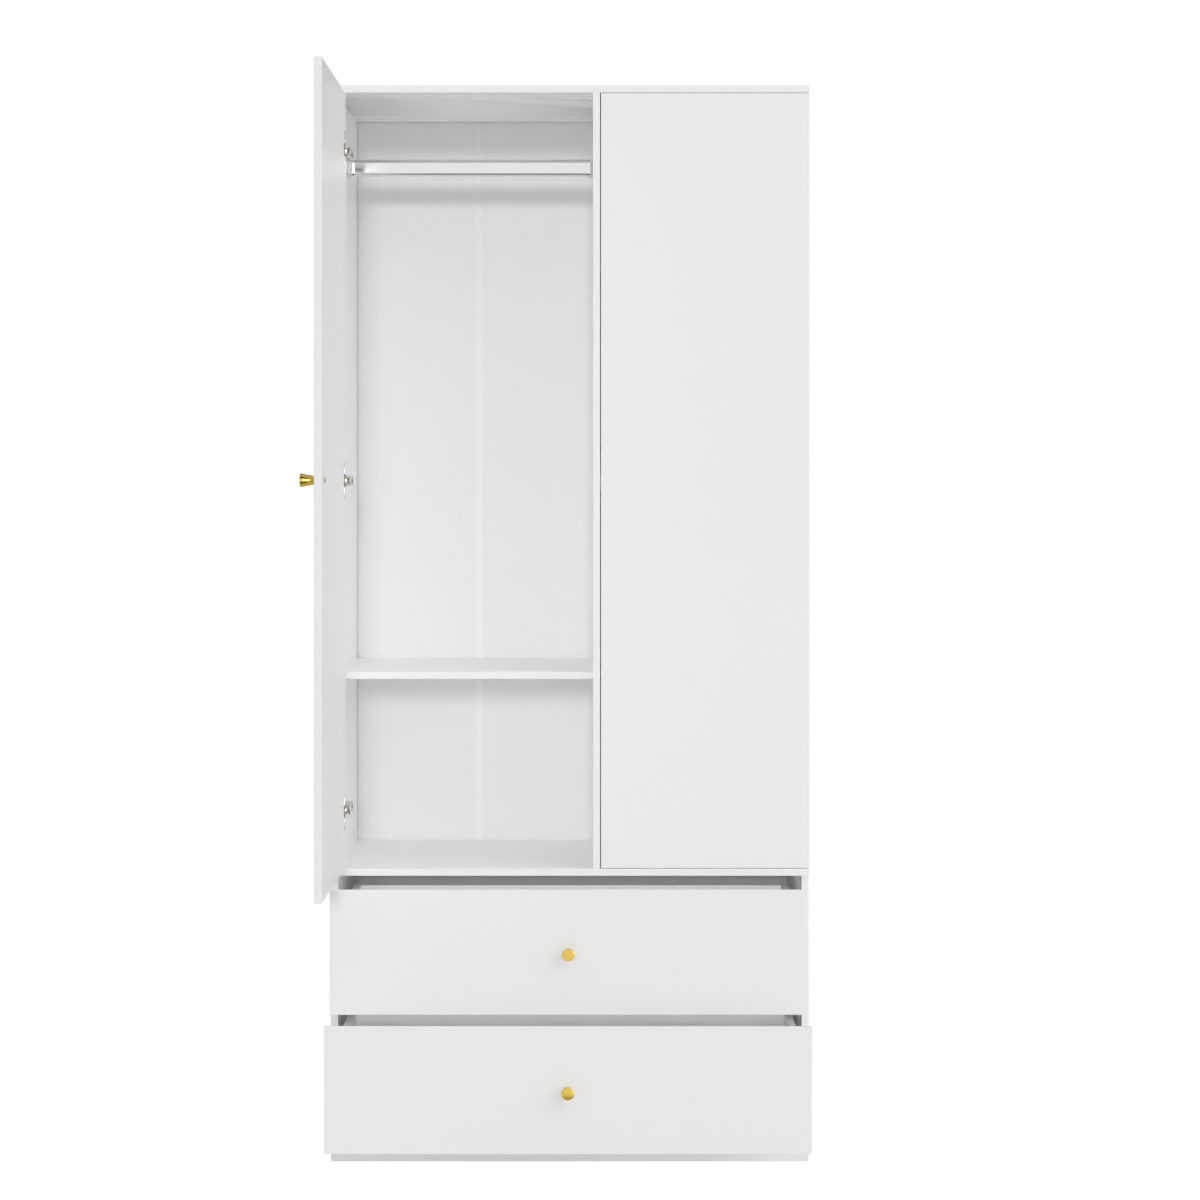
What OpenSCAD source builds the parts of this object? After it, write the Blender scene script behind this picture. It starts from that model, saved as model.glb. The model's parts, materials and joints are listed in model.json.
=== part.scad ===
// Wardrobe with two doors and two drawers.
// Millimetres, +X to the right, +Y to the back, +Z up. The origin is on the floor, at the middle
// of the width, in the plane of the side panels' front edges.
// It is drawn with the left door open and both drawers partly pulled out.

/* [Carcass] */
// Width over the side panels
body_w = 800; // [640:10:1200]
// Height from the floor to the top
body_h = 1800; // [1500:10:2200]
// Depth from the front edges to the rear edges of the side panels
body_d = 416; // [400:4:600]
// Thickness of every board
board_t = 12; // [12:1:18]
// Height of the plinth
plinth_h = 60; // [40:5:120]
// Clear height of the drawer bay
bay_h = 408; // [408:4:520]
// Middle of the centre divider, from the middle of the width
divider_x = 44.7; // [-60:0.1:60]
// Thickness of the back panels
back_t = 3; // [2.5:0.5:6]
// From the back panels' rear face to the rear edges of the side panels
back_inset = 15; // [8:1:30]
// Middle of the back panel joiner, from the middle of the width
joiner_x = -168; // [-200:1:-100]
// Width of the joiner's front flange
joiner_w = 12.6; // [10:0.1:20]

/* [Shelves] */
// Underside of the left shelf above the middle panel
left_shelf_rise = 316; // [200:1:400]
// Height of the middle right shelf, as a share of the space above the left shelf
middle_shelf_share = 0.4; // [0.3:0.01:0.45]
// Height of the upper right shelf, as a share of the space above the left shelf
upper_shelf_share = 0.7; // [0.55:0.01:0.85]
// Shelf pin diameter
shelf_pin_d = 5; // [4:0.5:7]

/* [Doors] */
// From the doors' inner faces to the side panels' front edges
door_back_gap = 2; // [1.5:0.1:3]
// Gap above and below a door
door_end_gap = 1; // [1:0.1:3]
// Gap between a door and the centre divider
door_side_gap = 1.5; // [1.5:0.1:4]
// How far the left door stands open (0 or 90 degrees)
left_door_open = 90; // [0, 90]

/* [Hinges] */
// Middle of the end hinges, from the door's ends
hinge_end = 96.5; // [80:0.5:200]
// Diameter of the hinge cup
cup_d = 35; // [35]
// Depth of the cup's recess in the door
cup_depth = 10.3; // [9.5:0.1:10.5]
// Edge of the door to the edge of the cup
cup_edge = 5; // [5:0.5:6]

/* [Clothes rail] */
// Height of the oval tube
rail_h = 30; // [25:1:32]
// Width of the oval tube
rail_w = 15; // [13:1:18]
// Wall of the tube
rail_wall = 1.2; // [0.8:0.1:2]
// Middle of the tube below the top panel
rail_drop = 104; // [60:1:150]
// Middle of the tube behind the front edges
rail_y = 200; // [150:1:240]

/* [Drawers] */
// Gap round each drawer front
front_gap = 2; // [1.5:0.5:3]
// Height of the drawer box
box_h = 150; // [100:1:155]
// Top of the drawer box below the top of its front
box_drop = 39; // [20:1:45]
// Length of a drawer, front face to rear face
drawer_l = 370; // [360:1:380]
// Thickness of the drawer bottom
bottom_t = 4; // [3:0.5:6]
// Drawer bottom above the lower edge of the sides
bottom_rise = 10; // [8:1:20]
// How far the upper drawer is pulled out
upper_pull = 181; // [0:1:340]
// How far the lower drawer is pulled out
lower_pull = 282; // [0:1:340]

/* [Slides] */
// Space for a slide between a side panel and a drawer side
slide_w = 12.5; // [12.5]
// Height of the outer slide member
slide_h = 45; // [45]
// Length of each slide member
slide_l = 350; // [300:10:350]
// Sheet thickness of the slide members
slide_t = 1.2; // [1:0.1:1.4]
// Front end of a closed slide behind the front edges
slide_y = 15; // [14:1:20]

/* [Knobs] */
// Diameter of the knob's front
knob_d = 20; // [16:1:30]
// Diameter of the knob at the door
knob_base_d = 12.5; // [8:0.5:20]
// Length of the knob
knob_l = 25; // [18:1:35]
// Width of the band at the front
knob_band = 4; // [2:0.5:6]
// Middle of the door knob from the door's free edge
knob_edge = 41; // [25:1:80]

/* [Hidden] */
$fn = 48;
eps = 0.01;

// Colours of the real finishes
white = "#f2f2f0";
steel = "#c9ccd0";
chrome = "#d8dadd";
gold = "#d8ae3c";
birch = "#d9bd8c";

// Carcass planes
half_w = body_w / 2;
in_x = half_w - board_t;            // inner face of a side panel
door_face = -door_back_gap - board_t;
bottom_z = plinth_h;                // underside of the bottom panel
mid_z = plinth_h + board_t + bay_h; // underside of the middle panel
mid_top = mid_z + board_t;
top_z = body_h - board_t;           // underside of the top panel
back_front = body_d - back_inset - back_t;
joiner_t = 1;
board_end = back_front - joiner_t - 0.2;  // rear edge of every inner board
groove_depth = 6;
groove_play = 0.1;
groove_front = 1.8;                 // a groove's spare width in front of its sheet, a thin dark line
floor_gap = 6;                      // back panels end this far above the floor
div_l = divider_x - board_t / 2;
div_r = divider_x + board_t / 2;
left_shelf_z = mid_top + left_shelf_rise;

// Doors
left_w = div_l - door_side_gap + half_w;
right_w = half_w - div_r - door_side_gap;
door_z = mid_top + door_end_gap;
door_h = top_z - mid_top - 2 * door_end_gap;
hinge_zs = [door_z + hinge_end, door_z + door_h / 2, door_z + door_h - hinge_end];

// Fasteners
play = 0.05;
screw_r = 2;
screw_head_r = 4;
screw_head_h = 3;
screw_l = 39;
cap_r = 5;
cap_t = 1;
dowel_r = 3;
dowel_in_edge = 15;
dowel_in_face = 8;
small_r = 1.75;                     // small countersunk fitting screw
small_head_r = 3.2;
screw_ys = [50, 200, 350 + body_d - 416];
dowel_ys = [90, 310];
wood_bite = board_t - 2.5;          // how deep a small screw goes into a board

// Joints between boards: [x, z, direction from the face board into the edge board]
left_mid_joint = [-in_x, mid_z + board_t / 2, [0, 90, 0]];
left_bottom_joint = [-in_x, bottom_z + board_t / 2, [0, 90, 0]];
left_shelf_joint = [-in_x, left_shelf_z + board_t / 2, [0, 90, 0]];
right_mid_joint = [in_x, mid_z + board_t / 2, [0, -90, 0]];
right_bottom_joint = [in_x, bottom_z + board_t / 2, [0, -90, 0]];
left_top_joint = [-half_w + board_t / 2, top_z, [180, 0, 0]];
right_top_joint = [half_w - board_t / 2, top_z, [180, 0, 0]];
divider_top_joint = [divider_x, top_z, [180, 0, 0]];
divider_mid_joint = [divider_x, mid_top, [0, 0, 0]];
shelf_divider_joint = [div_l, left_shelf_z + board_t / 2, [0, -90, 0]];
board_joints = [
    left_mid_joint, left_bottom_joint, left_shelf_joint, right_mid_joint, right_bottom_joint,
    left_top_joint, right_top_joint, divider_top_joint, divider_mid_joint, shelf_divider_joint
];
plinth_ys = [board_t / 2, board_end - board_t / 2];
plinth_screw_zs = [plinth_h * 0.3, plinth_h * 0.7];

module at_joint(joint, y) {
    translate([joint[0], y, joint[1]])
        rotate(joint[2])
            children();
}

// A countersunk assembly screw, its head one board below the joint's plane, under its cap
module assembly_screw(extra = 0) {
    head = -board_t + cap_t;
    translate([0, 0, head])
        cylinder(h = screw_head_h, r1 = screw_head_r + extra, r2 = screw_r + extra);
    translate([0, 0, head])
        cylinder(h = screw_l - cap_t + extra, r = screw_r + extra);
}

module screw_cap(extra = 0) {
    translate([0, 0, -board_t - extra])
        cylinder(h = cap_t + extra, r = cap_r + extra);
}

module dowel(extra = 0) {
    translate([0, 0, -dowel_in_face - extra])
        cylinder(h = dowel_in_edge + dowel_in_face + 2 * extra, r = dowel_r + extra);
}

module joint_cuts(joints) {
    for (joint = joints) {
        for (y = screw_ys)
            at_joint(joint, y) {
                assembly_screw(play);
                screw_cap(play);
            }
        for (y = dowel_ys)
            at_joint(joint, y)
                dowel(play);
    }
}

// Screws through a side panel into the ends of the two plinth rails
module at_plinth_ends(side) {
    for (y = plinth_ys, z = plinth_screw_zs)
        translate([side * in_x, y, z])
            rotate([0, -90 * side, 0])
                children();
}

module plinth_cuts(side) {
    at_plinth_ends(side) {
        assembly_screw(play);
        screw_cap(play);
    }
}

// A small countersunk screw along +Z, its flush head ending at z = 0
module small_screw(length, head_h = slide_t, extra = 0) {
    translate([0, 0, -head_h])
        cylinder(h = head_h, r = small_head_r + extra);
    translate([0, 0, -length])
        cylinder(h = length, r = small_r + extra);
}

// Groove for the back panels, along X, in the face at z
module back_groove_x(z, depth) {
    translate([-in_x - groove_depth, back_front - groove_front, z])
        cube([2 * (in_x + groove_depth), groove_front + back_t + groove_play, depth]);
}

// Where the hinges, slides, rail and shelf pins are fixed to a side panel
plate_screw_y = 37;
plate_screw_dz = 16;
slide_screw_ys = [22, 175, 328];
rail_z = top_z - rail_drop;
rail_screw_dz = 8;
pin_ys = [80, 330];
pin_in = 8;
right_shelf_zs = [
    for (share = [0, middle_shelf_share, upper_shelf_share])
        left_shelf_z + share * (top_z - left_shelf_z)
];

front_h = (bay_h - 3 * front_gap) / 2;
lower_z = plinth_h + board_t + front_gap;
upper_z = lower_z + front_h + front_gap;

function slide_z(front_z) = front_z + front_h - box_drop - box_h / 2;

slide_zs = [slide_z(lower_z), slide_z(upper_z)];

// Blind holes in the left side panel's inner face; the right one's are their mirror image
module side_fitting_cuts() {
    at_plate_screws()
        small_screw(wood_bite, 0.1, play);
    for (z = slide_zs, y = slide_screw_ys)
        translate([-in_x, slide_y + y, z])
            rotate([0, 90, 0])
                cylinder(h = wood_bite * 2, r = small_r + play, center = true);
}

module at_plate_screws() {
    for (z = hinge_zs, dz = [-plate_screw_dz, plate_screw_dz])
        translate([-in_x, plate_screw_y, z + dz])
            rotate([0, 90, 0])
                children();
}

module side_panel_blank() {
    difference() {
        translate([-half_w, 0, 0])
            cube([board_t, body_d, top_z]);
        translate([-in_x - groove_depth, back_front - groove_front, floor_gap])
            cube([groove_depth + eps, groove_front + back_t + groove_play, top_z]);
        side_fitting_cuts();
    }
}

module left_side_panel() {
    color(white)
        difference() {
            side_panel_blank();
            joint_cuts([left_mid_joint, left_bottom_joint, left_shelf_joint, left_top_joint]);
            plinth_cuts(-1);
            rail_screw_holes(-in_x, 1);
        }
}

module right_side_panel() {
    color(white)
        difference() {
            mirror([1, 0, 0])
                side_panel_blank();
            joint_cuts([right_mid_joint, right_bottom_joint, right_top_joint]);
            plinth_cuts(1);
            shelf_pin_holes(in_x, 1);
        }
}

module shelf_pin_holes(x, side) {
    for (z = right_shelf_zs, y = pin_ys)
        translate([x - side * eps, y, z - shelf_pin_d / 2])
            rotate([0, 90 * side, 0])
                cylinder(h = pin_in + play, d = shelf_pin_d + 2 * play);
}

module rail_screw_holes(x, side) {
    for (dz = [-rail_screw_dz, rail_screw_dz])
        translate([x, rail_y, rail_z + dz])
            rotate([0, 90 * side, 0])
                cylinder(h = 2 * wood_bite, r = small_r + play, center = true);
}

module top_panel() {
    color(white)
        difference() {
            translate([-half_w, door_face, top_z])
                cube([body_w, body_d - door_face, board_t]);
            back_groove_x(top_z - eps, groove_depth + eps);
            joint_cuts([left_top_joint, right_top_joint, divider_top_joint]);
        }
}

// Its front strip runs over the side panels' front edges, flush with the doors
module middle_panel() {
    color(white)
        difference() {
            union() {
                translate([-in_x, 0, mid_z])
                    cube([2 * in_x, board_end, board_t]);
                translate([-half_w, door_face, mid_z])
                    cube([body_w, -door_face, board_t]);
            }
            joint_cuts([left_mid_joint, right_mid_joint, divider_mid_joint]);
        }
}

module bottom_panel() {
    color(white)
        difference() {
            translate([-in_x, 0, bottom_z])
                cube([2 * in_x, board_end, board_t]);
            joint_cuts([left_bottom_joint, right_bottom_joint]);
        }
}

module centre_divider() {
    color(white)
        difference() {
            translate([div_l, door_face, mid_top])
                cube([board_t, board_end - door_face, top_z - mid_top]);
            joint_cuts([divider_top_joint, divider_mid_joint, shelf_divider_joint]);
            shelf_pin_holes(div_r, -1);
            rail_screw_holes(div_l, 1);
            at_catch_screws()
                cylinder(h = 2 * (catch_foot + wood_bite), r = small_r + play, center = true);
        }
}

module plinth_rail(y) {
    difference() {
        translate([-in_x, y - board_t / 2, 0])
            cube([2 * in_x, board_t, plinth_h]);
        plinth_cuts(-1);
        plinth_cuts(1);
    }
}

module plinth_front() {
    color(white)
        plinth_rail(plinth_ys[0]);
}

module plinth_back() {
    color(white)
        plinth_rail(plinth_ys[1]);
}

// Back panels stand in grooves and meet in the joiner
joiner_web = 1.2;
joiner_rear_w = 20;

module back_sheet(x0, x1) {
    translate([x0, back_front, floor_gap])
        cube([x1 - x0, back_t, top_z + groove_depth - groove_play - floor_gap]);
}

module back_panel_left() {
    color(white)
        back_sheet(-in_x - groove_depth + groove_play, joiner_x - joiner_web / 2 - groove_play);
}

module back_panel_right() {
    color(white)
        back_sheet(joiner_x + joiner_web / 2 + groove_play, in_x + groove_depth - groove_play);
}

module back_joiner() {
    flange_h = top_z - floor_gap - 0.5;
    color(white)
        translate([joiner_x, back_front, floor_gap])
            linear_extrude(flange_h) {
                translate([-joiner_web / 2, -joiner_t])
                    square([joiner_web, back_t + 2 * joiner_t]);
                translate([-joiner_w / 2, -joiner_t])
                    square([joiner_w, joiner_t]);
                translate([-joiner_rear_w / 2, back_t])
                    square([joiner_rear_w, joiner_t]);
            }
}

module left_shelf() {
    color(white)
        difference() {
            translate([-in_x, 0, left_shelf_z])
                cube([div_l + in_x, board_end, board_t]);
            joint_cuts([left_shelf_joint, shelf_divider_joint]);
        }
}

// Loose shelves behind the right door, each on four pins and set back clear of the hinge arms
shelf_play = 0.5;
right_shelf_y = 62;

module right_shelves() {
    color(white)
        for (z = right_shelf_zs)
            translate([div_r + shelf_play, right_shelf_y, z])
                cube([in_x - div_r - 2 * shelf_play, board_end - right_shelf_y, board_t]);
}

pin_out = 8;

module shelf_pin() {
    translate([0, 0, -pin_out])
        cylinder(h = pin_in + pin_out, d = shelf_pin_d);
}

module shelf_pins() {
    color(steel)
        for (z = right_shelf_zs, y = pin_ys)
            for (end = [[div_r, -1], [in_x, 1]])
                translate([end[0], y, z - shelf_pin_d / 2])
                    rotate([0, 90 * end[1], 0])
                        shelf_pin();
}

module assembly_screws() {
    color(steel) {
        for (joint = board_joints, y = screw_ys)
            at_joint(joint, y)
                assembly_screw();
        for (side = [-1, 1])
            at_plinth_ends(side)
                assembly_screw();
    }
}

module screw_caps() {
    color(white) {
        for (joint = board_joints, y = screw_ys)
            at_joint(joint, y)
                screw_cap();
        for (side = [-1, 1])
            at_plinth_ends(side)
                screw_cap();
    }
}

module dowels() {
    color(birch)
        for (joint = board_joints, y = dowel_ys)
            at_joint(joint, y)
                dowel();
}

// Clothes rail: an oval tube in two cups that are open at the top
rail_end_play = 0.3;
bracket_base = 2;
bracket_wall = 2.2;
bracket_l = 11.5;

module oval(height, width) {
    for (side = [-1, 1])
        translate([side * (height - width) / 2, 0])
            circle(d = width);
    translate([-(height - width) / 2, -width / 2])
        square([height - width, width]);
}

module clothes_rail() {
    x0 = -in_x + bracket_base + rail_end_play;
    x1 = div_l - bracket_base - rail_end_play;
    color(chrome)
        translate([x0, rail_y, rail_z])
            rotate([0, 90, 0])
                linear_extrude(x1 - x0)
                    difference() {
                        oval(rail_h, rail_w);
                        oval(rail_h - 2 * rail_wall, rail_w - 2 * rail_wall);
                    }
}

// One cup, its base in the plane x = 0 and its mouth towards +X
module rail_bracket() {
    outer_h = rail_h + 2 * (rail_end_play + bracket_wall);
    outer_w = rail_w + 2 * (rail_end_play + bracket_wall);
    pocket_h = rail_h + 2 * rail_end_play;
    pocket_w = rail_w + 2 * rail_end_play;
    difference() {
        rotate([0, 90, 0])
            linear_extrude(bracket_l)
                oval(outer_h, outer_w);
        translate([bracket_base, 0, 0])
            rotate([0, 90, 0])
                linear_extrude(bracket_l)
                    oval(pocket_h, pocket_w);
        translate([bracket_base, -pocket_w / 2, 0])
            cube([bracket_l, pocket_w, outer_h]);
        for (dz = [-rail_screw_dz, rail_screw_dz])
            translate([bracket_base, 0, dz])
                rotate([0, 90, 0])
                    small_screw(bracket_base + 1, bracket_base / 2, play);
    }
}

module at_rail_brackets() {
    translate([-in_x, rail_y, rail_z])
        children();
    translate([div_l, rail_y, rail_z])
        mirror([1, 0, 0])
            children();
}

module rail_brackets() {
    color(chrome)
        at_rail_brackets()
            rail_bracket();
}

// Concealed hinge, in a side panel's own frame: u runs inwards from its outer face, v runs back
// from its front edge, and z is up from the hinge's middle. The door turns on an outer link,
// which turns on the arm. All links are outlined for a door that stands open at 90 degrees.
cup_u = cup_edge + cup_d / 2;
open_face_u = 25.6;                 // the open door's inner face
open_edge_v = -8.5;                 // the open door's hinge edge
cup_pin = [12, 4];                  // from the door's edge, and below its inner face
rear_cup_pin = [8.5, 4];
arm_pin_u = 29.4;
inner_arm_pin = [25.35, 1.11];
pin_r = 1.25;
rear_pin_r = 1;
link_t = 1.8;
eye_r = 2.3;
ear_in = 6.4;                       // half the clear width inside the arm
ear_out = 8;
plate_z0 = 4.2;                     // outer link plates, from the hinge's middle
plate_z1 = 6;
bar_half = 3.6;                     // inner link, half its width
closed_pin = [cup_pin[0], -door_back_gap - cup_pin[1]];
open_pin = [open_face_u - cup_pin[1], open_edge_v - cup_pin[0]];

// The arm pin is as far from the cup pin when the door is closed as when it is open
arm_pin = [
    arm_pin_u,
    ((arm_pin_u - open_pin[0]) ^ 2 - (arm_pin_u - closed_pin[0]) ^ 2
        + open_pin[1] ^ 2 - closed_pin[1] ^ 2) / (2 * (open_pin[1] - closed_pin[1]))
];

function heading(p) = atan2(p[1], p[0]);

outer_turn = heading(open_pin - arm_pin) - heading(closed_pin - arm_pin) + 360;
inner_turn = 55.5;
outer_path = [open_pin, [26.4, -18.9], [28.3, -17.2], [29.2, -11], arm_pin];
inner_path = [[25, -17.2], [27.4, -16.4], [28.8, -14.4], [28.2, -6], inner_arm_pin];

module strip(path, width) {
    for (i = [0:len(path) - 2]) {
        step = path[i + 1] - path[i];
        translate(path[i]) {
            circle(d = width);
            rotate(heading(step))
                translate([0, -width / 2])
                    square([norm(step), width]);
        }
    }
}

module turn_about(point, angle) {
    translate([point[0], point[1], 0])
        rotate([0, 0, angle])
            translate([-point[0], -point[1], 0])
                children();
}

module slab(z0, z1) {
    translate([0, 0, z0])
        linear_extrude(z1 - z0)
            children();
}

module outer_link() {
    for (z0 = [-plate_z1, plate_z0])
        slab(z0, z0 + plate_z1 - plate_z0)
            difference() {
                union() {
                    strip(outer_path, link_t);
                    translate(open_pin)
                        circle(r = eye_r);
                    translate(arm_pin)
                        circle(r = eye_r);
                }
                translate(open_pin)
                    circle(r = pin_r + play);
                translate(arm_pin)
                    circle(r = pin_r + play);
            }
}

module inner_link() {
    slab(-bar_half, bar_half)
        difference() {
            union() {
                strip(inner_path, link_t);
                translate(inner_arm_pin)
                    circle(r = eye_r);
            }
            translate(inner_arm_pin)
                circle(r = pin_r + play);
        }
}

nose_r = 2.9;
arm_top = arm_pin_u + nose_r;
arm_end = 60;
arm_web_t = 1.4;
arm_low = board_t + 4;

module arm_outline() {
    translate(arm_pin)
        circle(r = nose_r);
    translate(inner_arm_pin)
        circle(r = nose_r);
    polygon([
        [arm_top, arm_pin[1]], [arm_top, arm_end], [arm_low, arm_end], [arm_low, 18],
        [inner_arm_pin[0] - nose_r, inner_arm_pin[1]], [arm_pin_u - nose_r, arm_pin[1]]
    ]);
}

module hinge_arm() {
    difference() {
        union() {
            for (z0 = [-ear_out, ear_in])
                slab(z0, z0 + ear_out - ear_in)
                    arm_outline();
            slab(-ear_in - eps, ear_in + eps)
                polygon([
                    [arm_top - arm_web_t, arm_web_y], [arm_top, arm_web_y],
                    [arm_top, arm_end], [arm_top - arm_web_t, arm_end]
                ]);
        }
        slab(-ear_out - 1, ear_out + 1) {
            translate(arm_pin)
                circle(r = pin_r + eps);
            translate(inner_arm_pin)
                circle(r = pin_r + eps);
        }
        at_arm_screw()
            cylinder(h = 4, r = small_r + play, center = true);
    }
}

arm_web_y = 0;                      // the web starts behind the outer link's eye
arm_screw_v = 46;

module at_arm_screw() {
    translate([arm_top, arm_screw_v, 0])
        rotate([0, 90, 0])
            children();
}

// Mounting plate: a cross-shaped foot with a ridge inside the arm
foot_t = 2.5;
foot_half_h = 24;
foot_half_w = 8;
ridge_half = 5.8;
ridge_y = 22;
ridge_l = 34;
arm_screw_l = 14;
thin_head = 1.2;                    // straight part of a small screw's head in thin steel
ridge_top = arm_top - arm_web_t - 0.2;

module hinge_plate() {
    difference() {
        union() {
            translate([board_t, plate_screw_y - foot_half_w, -foot_half_h])
                cube([foot_t, 2 * foot_half_w, 2 * foot_half_h]);
            translate([board_t, ridge_y, -ridge_half])
                cube([ridge_top - board_t, ridge_l, 2 * ridge_half]);
        }
        for (dz = [-plate_screw_dz, plate_screw_dz])
            translate([board_t + foot_t, plate_screw_y, dz])
                rotate([0, 90, 0])
                    small_screw(foot_t + 1, thin_head, play);
        at_arm_screw()
            cylinder(h = 2 * arm_screw_l, r = small_r + play, center = true);
    }
}

module arm_pins() {
    for (z0 = [-ear_out, plate_z0 - 0.2])
        slab(z0, z0 + ear_out - plate_z0 + 0.2)
            translate(arm_pin)
                circle(r = pin_r);
    slab(-ear_out, ear_out)
        translate(inner_arm_pin)
            circle(r = pin_r);
}

// Cup and its pins, in a door's own frame: x from the hinge edge, y = 0 at the inner face,
// the board towards -Y, z up from the hinge's middle
cup_wall = 0.6;
cup_fit = 0.1;
ear_t = 1.2;
ear_half_h = 30;
ear_half_w = 7;
cup_screw_dz = 24;
cup_screw_x = cup_u + 5.5;
saddle_z = 6.6;                     // blocks that carry the cup pins
saddle_x = 6;
saddle_w = 8.6;
saddle_depths = [1.8, 7.4];

module along_depth(depth0, depth1) {
    translate([0, -depth0, 0])
        rotate([90, 0, 0])
            linear_extrude(depth1 - depth0)
                children();
}

module hinge_cup() {
    cup_r = cup_d / 2 - cup_fit;
    difference() {
        union() {
            difference() {
                union() {
                    along_depth(0, cup_depth - cup_fit)
                        translate([cup_u, 0])
                            circle(r = cup_r);
                    along_depth(-ear_t, 0)
                        translate([cup_screw_x - ear_half_w, -ear_half_h])
                            square([2 * ear_half_w, 2 * ear_half_h]);
                }
                along_depth(-ear_t - 1, cup_depth - cup_fit - cup_wall)
                    translate([cup_u, 0])
                        circle(r = cup_r - cup_wall);
            }
            along_depth(saddle_depths[0], saddle_depths[1])
                intersection() {
                    translate([cup_u, 0])
                        circle(r = cup_r - cup_wall / 2);
                    for (side = [-1, 1])
                        translate([saddle_x, side > 0 ? saddle_z : -cup_r])
                            square([saddle_w, cup_r - saddle_z]);
                }
        }
        slab(-cup_r + 3, cup_r - 3) {
            translate([cup_pin[0], -cup_pin[1]])
                circle(r = pin_r + eps);
            translate([rear_cup_pin[0], -rear_cup_pin[1]])
                circle(r = rear_pin_r + eps);
        }
        for (dz = [-cup_screw_dz, cup_screw_dz])
            translate([cup_screw_x, ear_t, dz])
                rotate([-90, 0, 0])
                    small_screw(ear_t + 1, ear_t / 2, play);
    }
}

module cup_pins() {
    stub = 10.5;
    for (z0 = [-stub, plate_z0 - 0.2])
        slab(z0, z0 + stub - plate_z0 + 0.2)
            translate([cup_pin[0], -cup_pin[1]])
                circle(r = pin_r);
    slab(-8.4, 8.4)
        translate([rear_cup_pin[0], -rear_cup_pin[1]])
            circle(r = rear_pin_r);
}

module cup_screws() {
    for (dz = [-cup_screw_dz, cup_screw_dz])
        translate([cup_screw_x, ear_t, dz])
            rotate([-90, 0, 0])
                small_screw(ear_t + wood_bite, ear_t / 2);
}

module at_hinges() {
    for (z = hinge_zs)
        translate([-half_w, 0, z])
            children();
}

module right_half() {
    mirror([1, 0, 0])
        children();
}

module hinge_plates() {
    color(steel) {
        at_hinges()
            hinge_plate();
        right_half()
            at_hinges()
                hinge_plate();
    }
}

module left_hinge_arms() {
    color(steel)
        at_hinges()
            hinge_arm();
}

module right_hinge_arms() {
    color(steel)
        right_half()
            at_hinges()
                hinge_arm();
}

module hinge_arm_pins() {
    color(steel) {
        at_hinges()
            arm_pins();
        right_half()
            at_hinges()
                arm_pins();
    }
}

// The right door is closed, so its links are turned back from their open outline
module left_outer_links() {
    color(steel)
        at_hinges()
            turn_about(arm_pin, left_door_open > 0 ? 0 : -outer_turn)
                outer_link();
}

module left_inner_links() {
    color(steel)
        at_hinges()
            turn_about(inner_arm_pin, left_door_open > 0 ? 0 : -inner_turn)
                inner_link();
}

module right_outer_links() {
    color(steel)
        right_half()
            at_hinges()
                turn_about(arm_pin, -outer_turn)
                    outer_link();
}

module right_inner_links() {
    color(steel)
        right_half()
            at_hinges()
                turn_about(inner_arm_pin, -inner_turn)
                    inner_link();
}

// A door in its own frame, z up from the floor
module door_blank(width) {
    difference() {
        translate([0, -board_t, door_z])
            cube([width, board_t, door_h]);
        for (z = hinge_zs)
            translate([0, 0, z]) {
                along_depth(-1, cup_depth)
                    translate([cup_u, 0])
                        circle(d = cup_d);
                for (dz = [-cup_screw_dz, cup_screw_dz])
                    translate([cup_screw_x, 0, dz])
                        rotate([90, 0, 0])
                            cylinder(h = 2 * (wood_bite + play), r = small_r + play, center = true);
            }
    }
}

module place_left_door() {
    if (left_door_open > 0)
        translate([-half_w + open_face_u, open_edge_v, 0])
            rotate([0, 0, -90])
                children();
    else
        translate([-half_w, -door_back_gap, 0])
            children();
}

module place_right_door() {
    right_half()
        translate([-half_w, -door_back_gap, 0])
            children();
}

module at_door_hinges() {
    for (z = hinge_zs)
        translate([0, 0, z])
            children();
}

knob_z = door_z + door_h / 2;
knob_x = left_w - knob_edge;
knob_screw_r = 2;
knob_screw_in = 14;
knob_screw_spare = 1.5;
pan_head_r = 4;
pan_head_h = 2.4;

module left_door() {
    color(white)
        place_left_door()
            difference() {
                door_blank(left_w);
                translate([knob_x, -board_t / 2, knob_z])
                    rotate([90, 0, 0])
                        cylinder(h = 2 * board_t, r = knob_screw_r + play, center = true);
            }
}

module right_door() {
    color(white)
        place_right_door()
            door_blank(right_w);
}

module left_hinge_cups() {
    color(steel)
        place_left_door()
            at_door_hinges()
                hinge_cup();
}

module right_hinge_cups() {
    color(steel)
        place_right_door()
            at_door_hinges()
                hinge_cup();
}

module left_cup_pins() {
    color(steel)
        place_left_door()
            at_door_hinges()
                cup_pins();
}

module right_cup_pins() {
    color(steel)
        place_right_door()
            at_door_hinges()
                cup_pins();
}

module left_door_screws() {
    color(steel)
        place_left_door() {
            at_door_hinges()
                cup_screws();
            translate([knob_x, 0, knob_z])
                knob_screw();
        }
}

module right_door_screws() {
    color(steel)
        place_right_door()
            at_door_hinges()
                cup_screws();
}

// A cone-shaped knob with a straight band at its front, along -Y from the door's outer face
module knob() {
    chamfer = 0.8;
    translate([0, -board_t, 0])
        rotate([90, 0, 0])
            difference() {
                rotate_extrude()
                    polygon([
                        [0, 0], [knob_base_d / 2, 0], [knob_d / 2 - chamfer, knob_l - knob_band],
                        [knob_d / 2, knob_l - knob_band + chamfer], [knob_d / 2, knob_l - chamfer],
                        [knob_d / 2 - chamfer, knob_l], [0, knob_l]
                    ]);
                translate([0, 0, -eps])
                    cylinder(h = knob_screw_in, r = knob_screw_r + play);
            }
}

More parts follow.
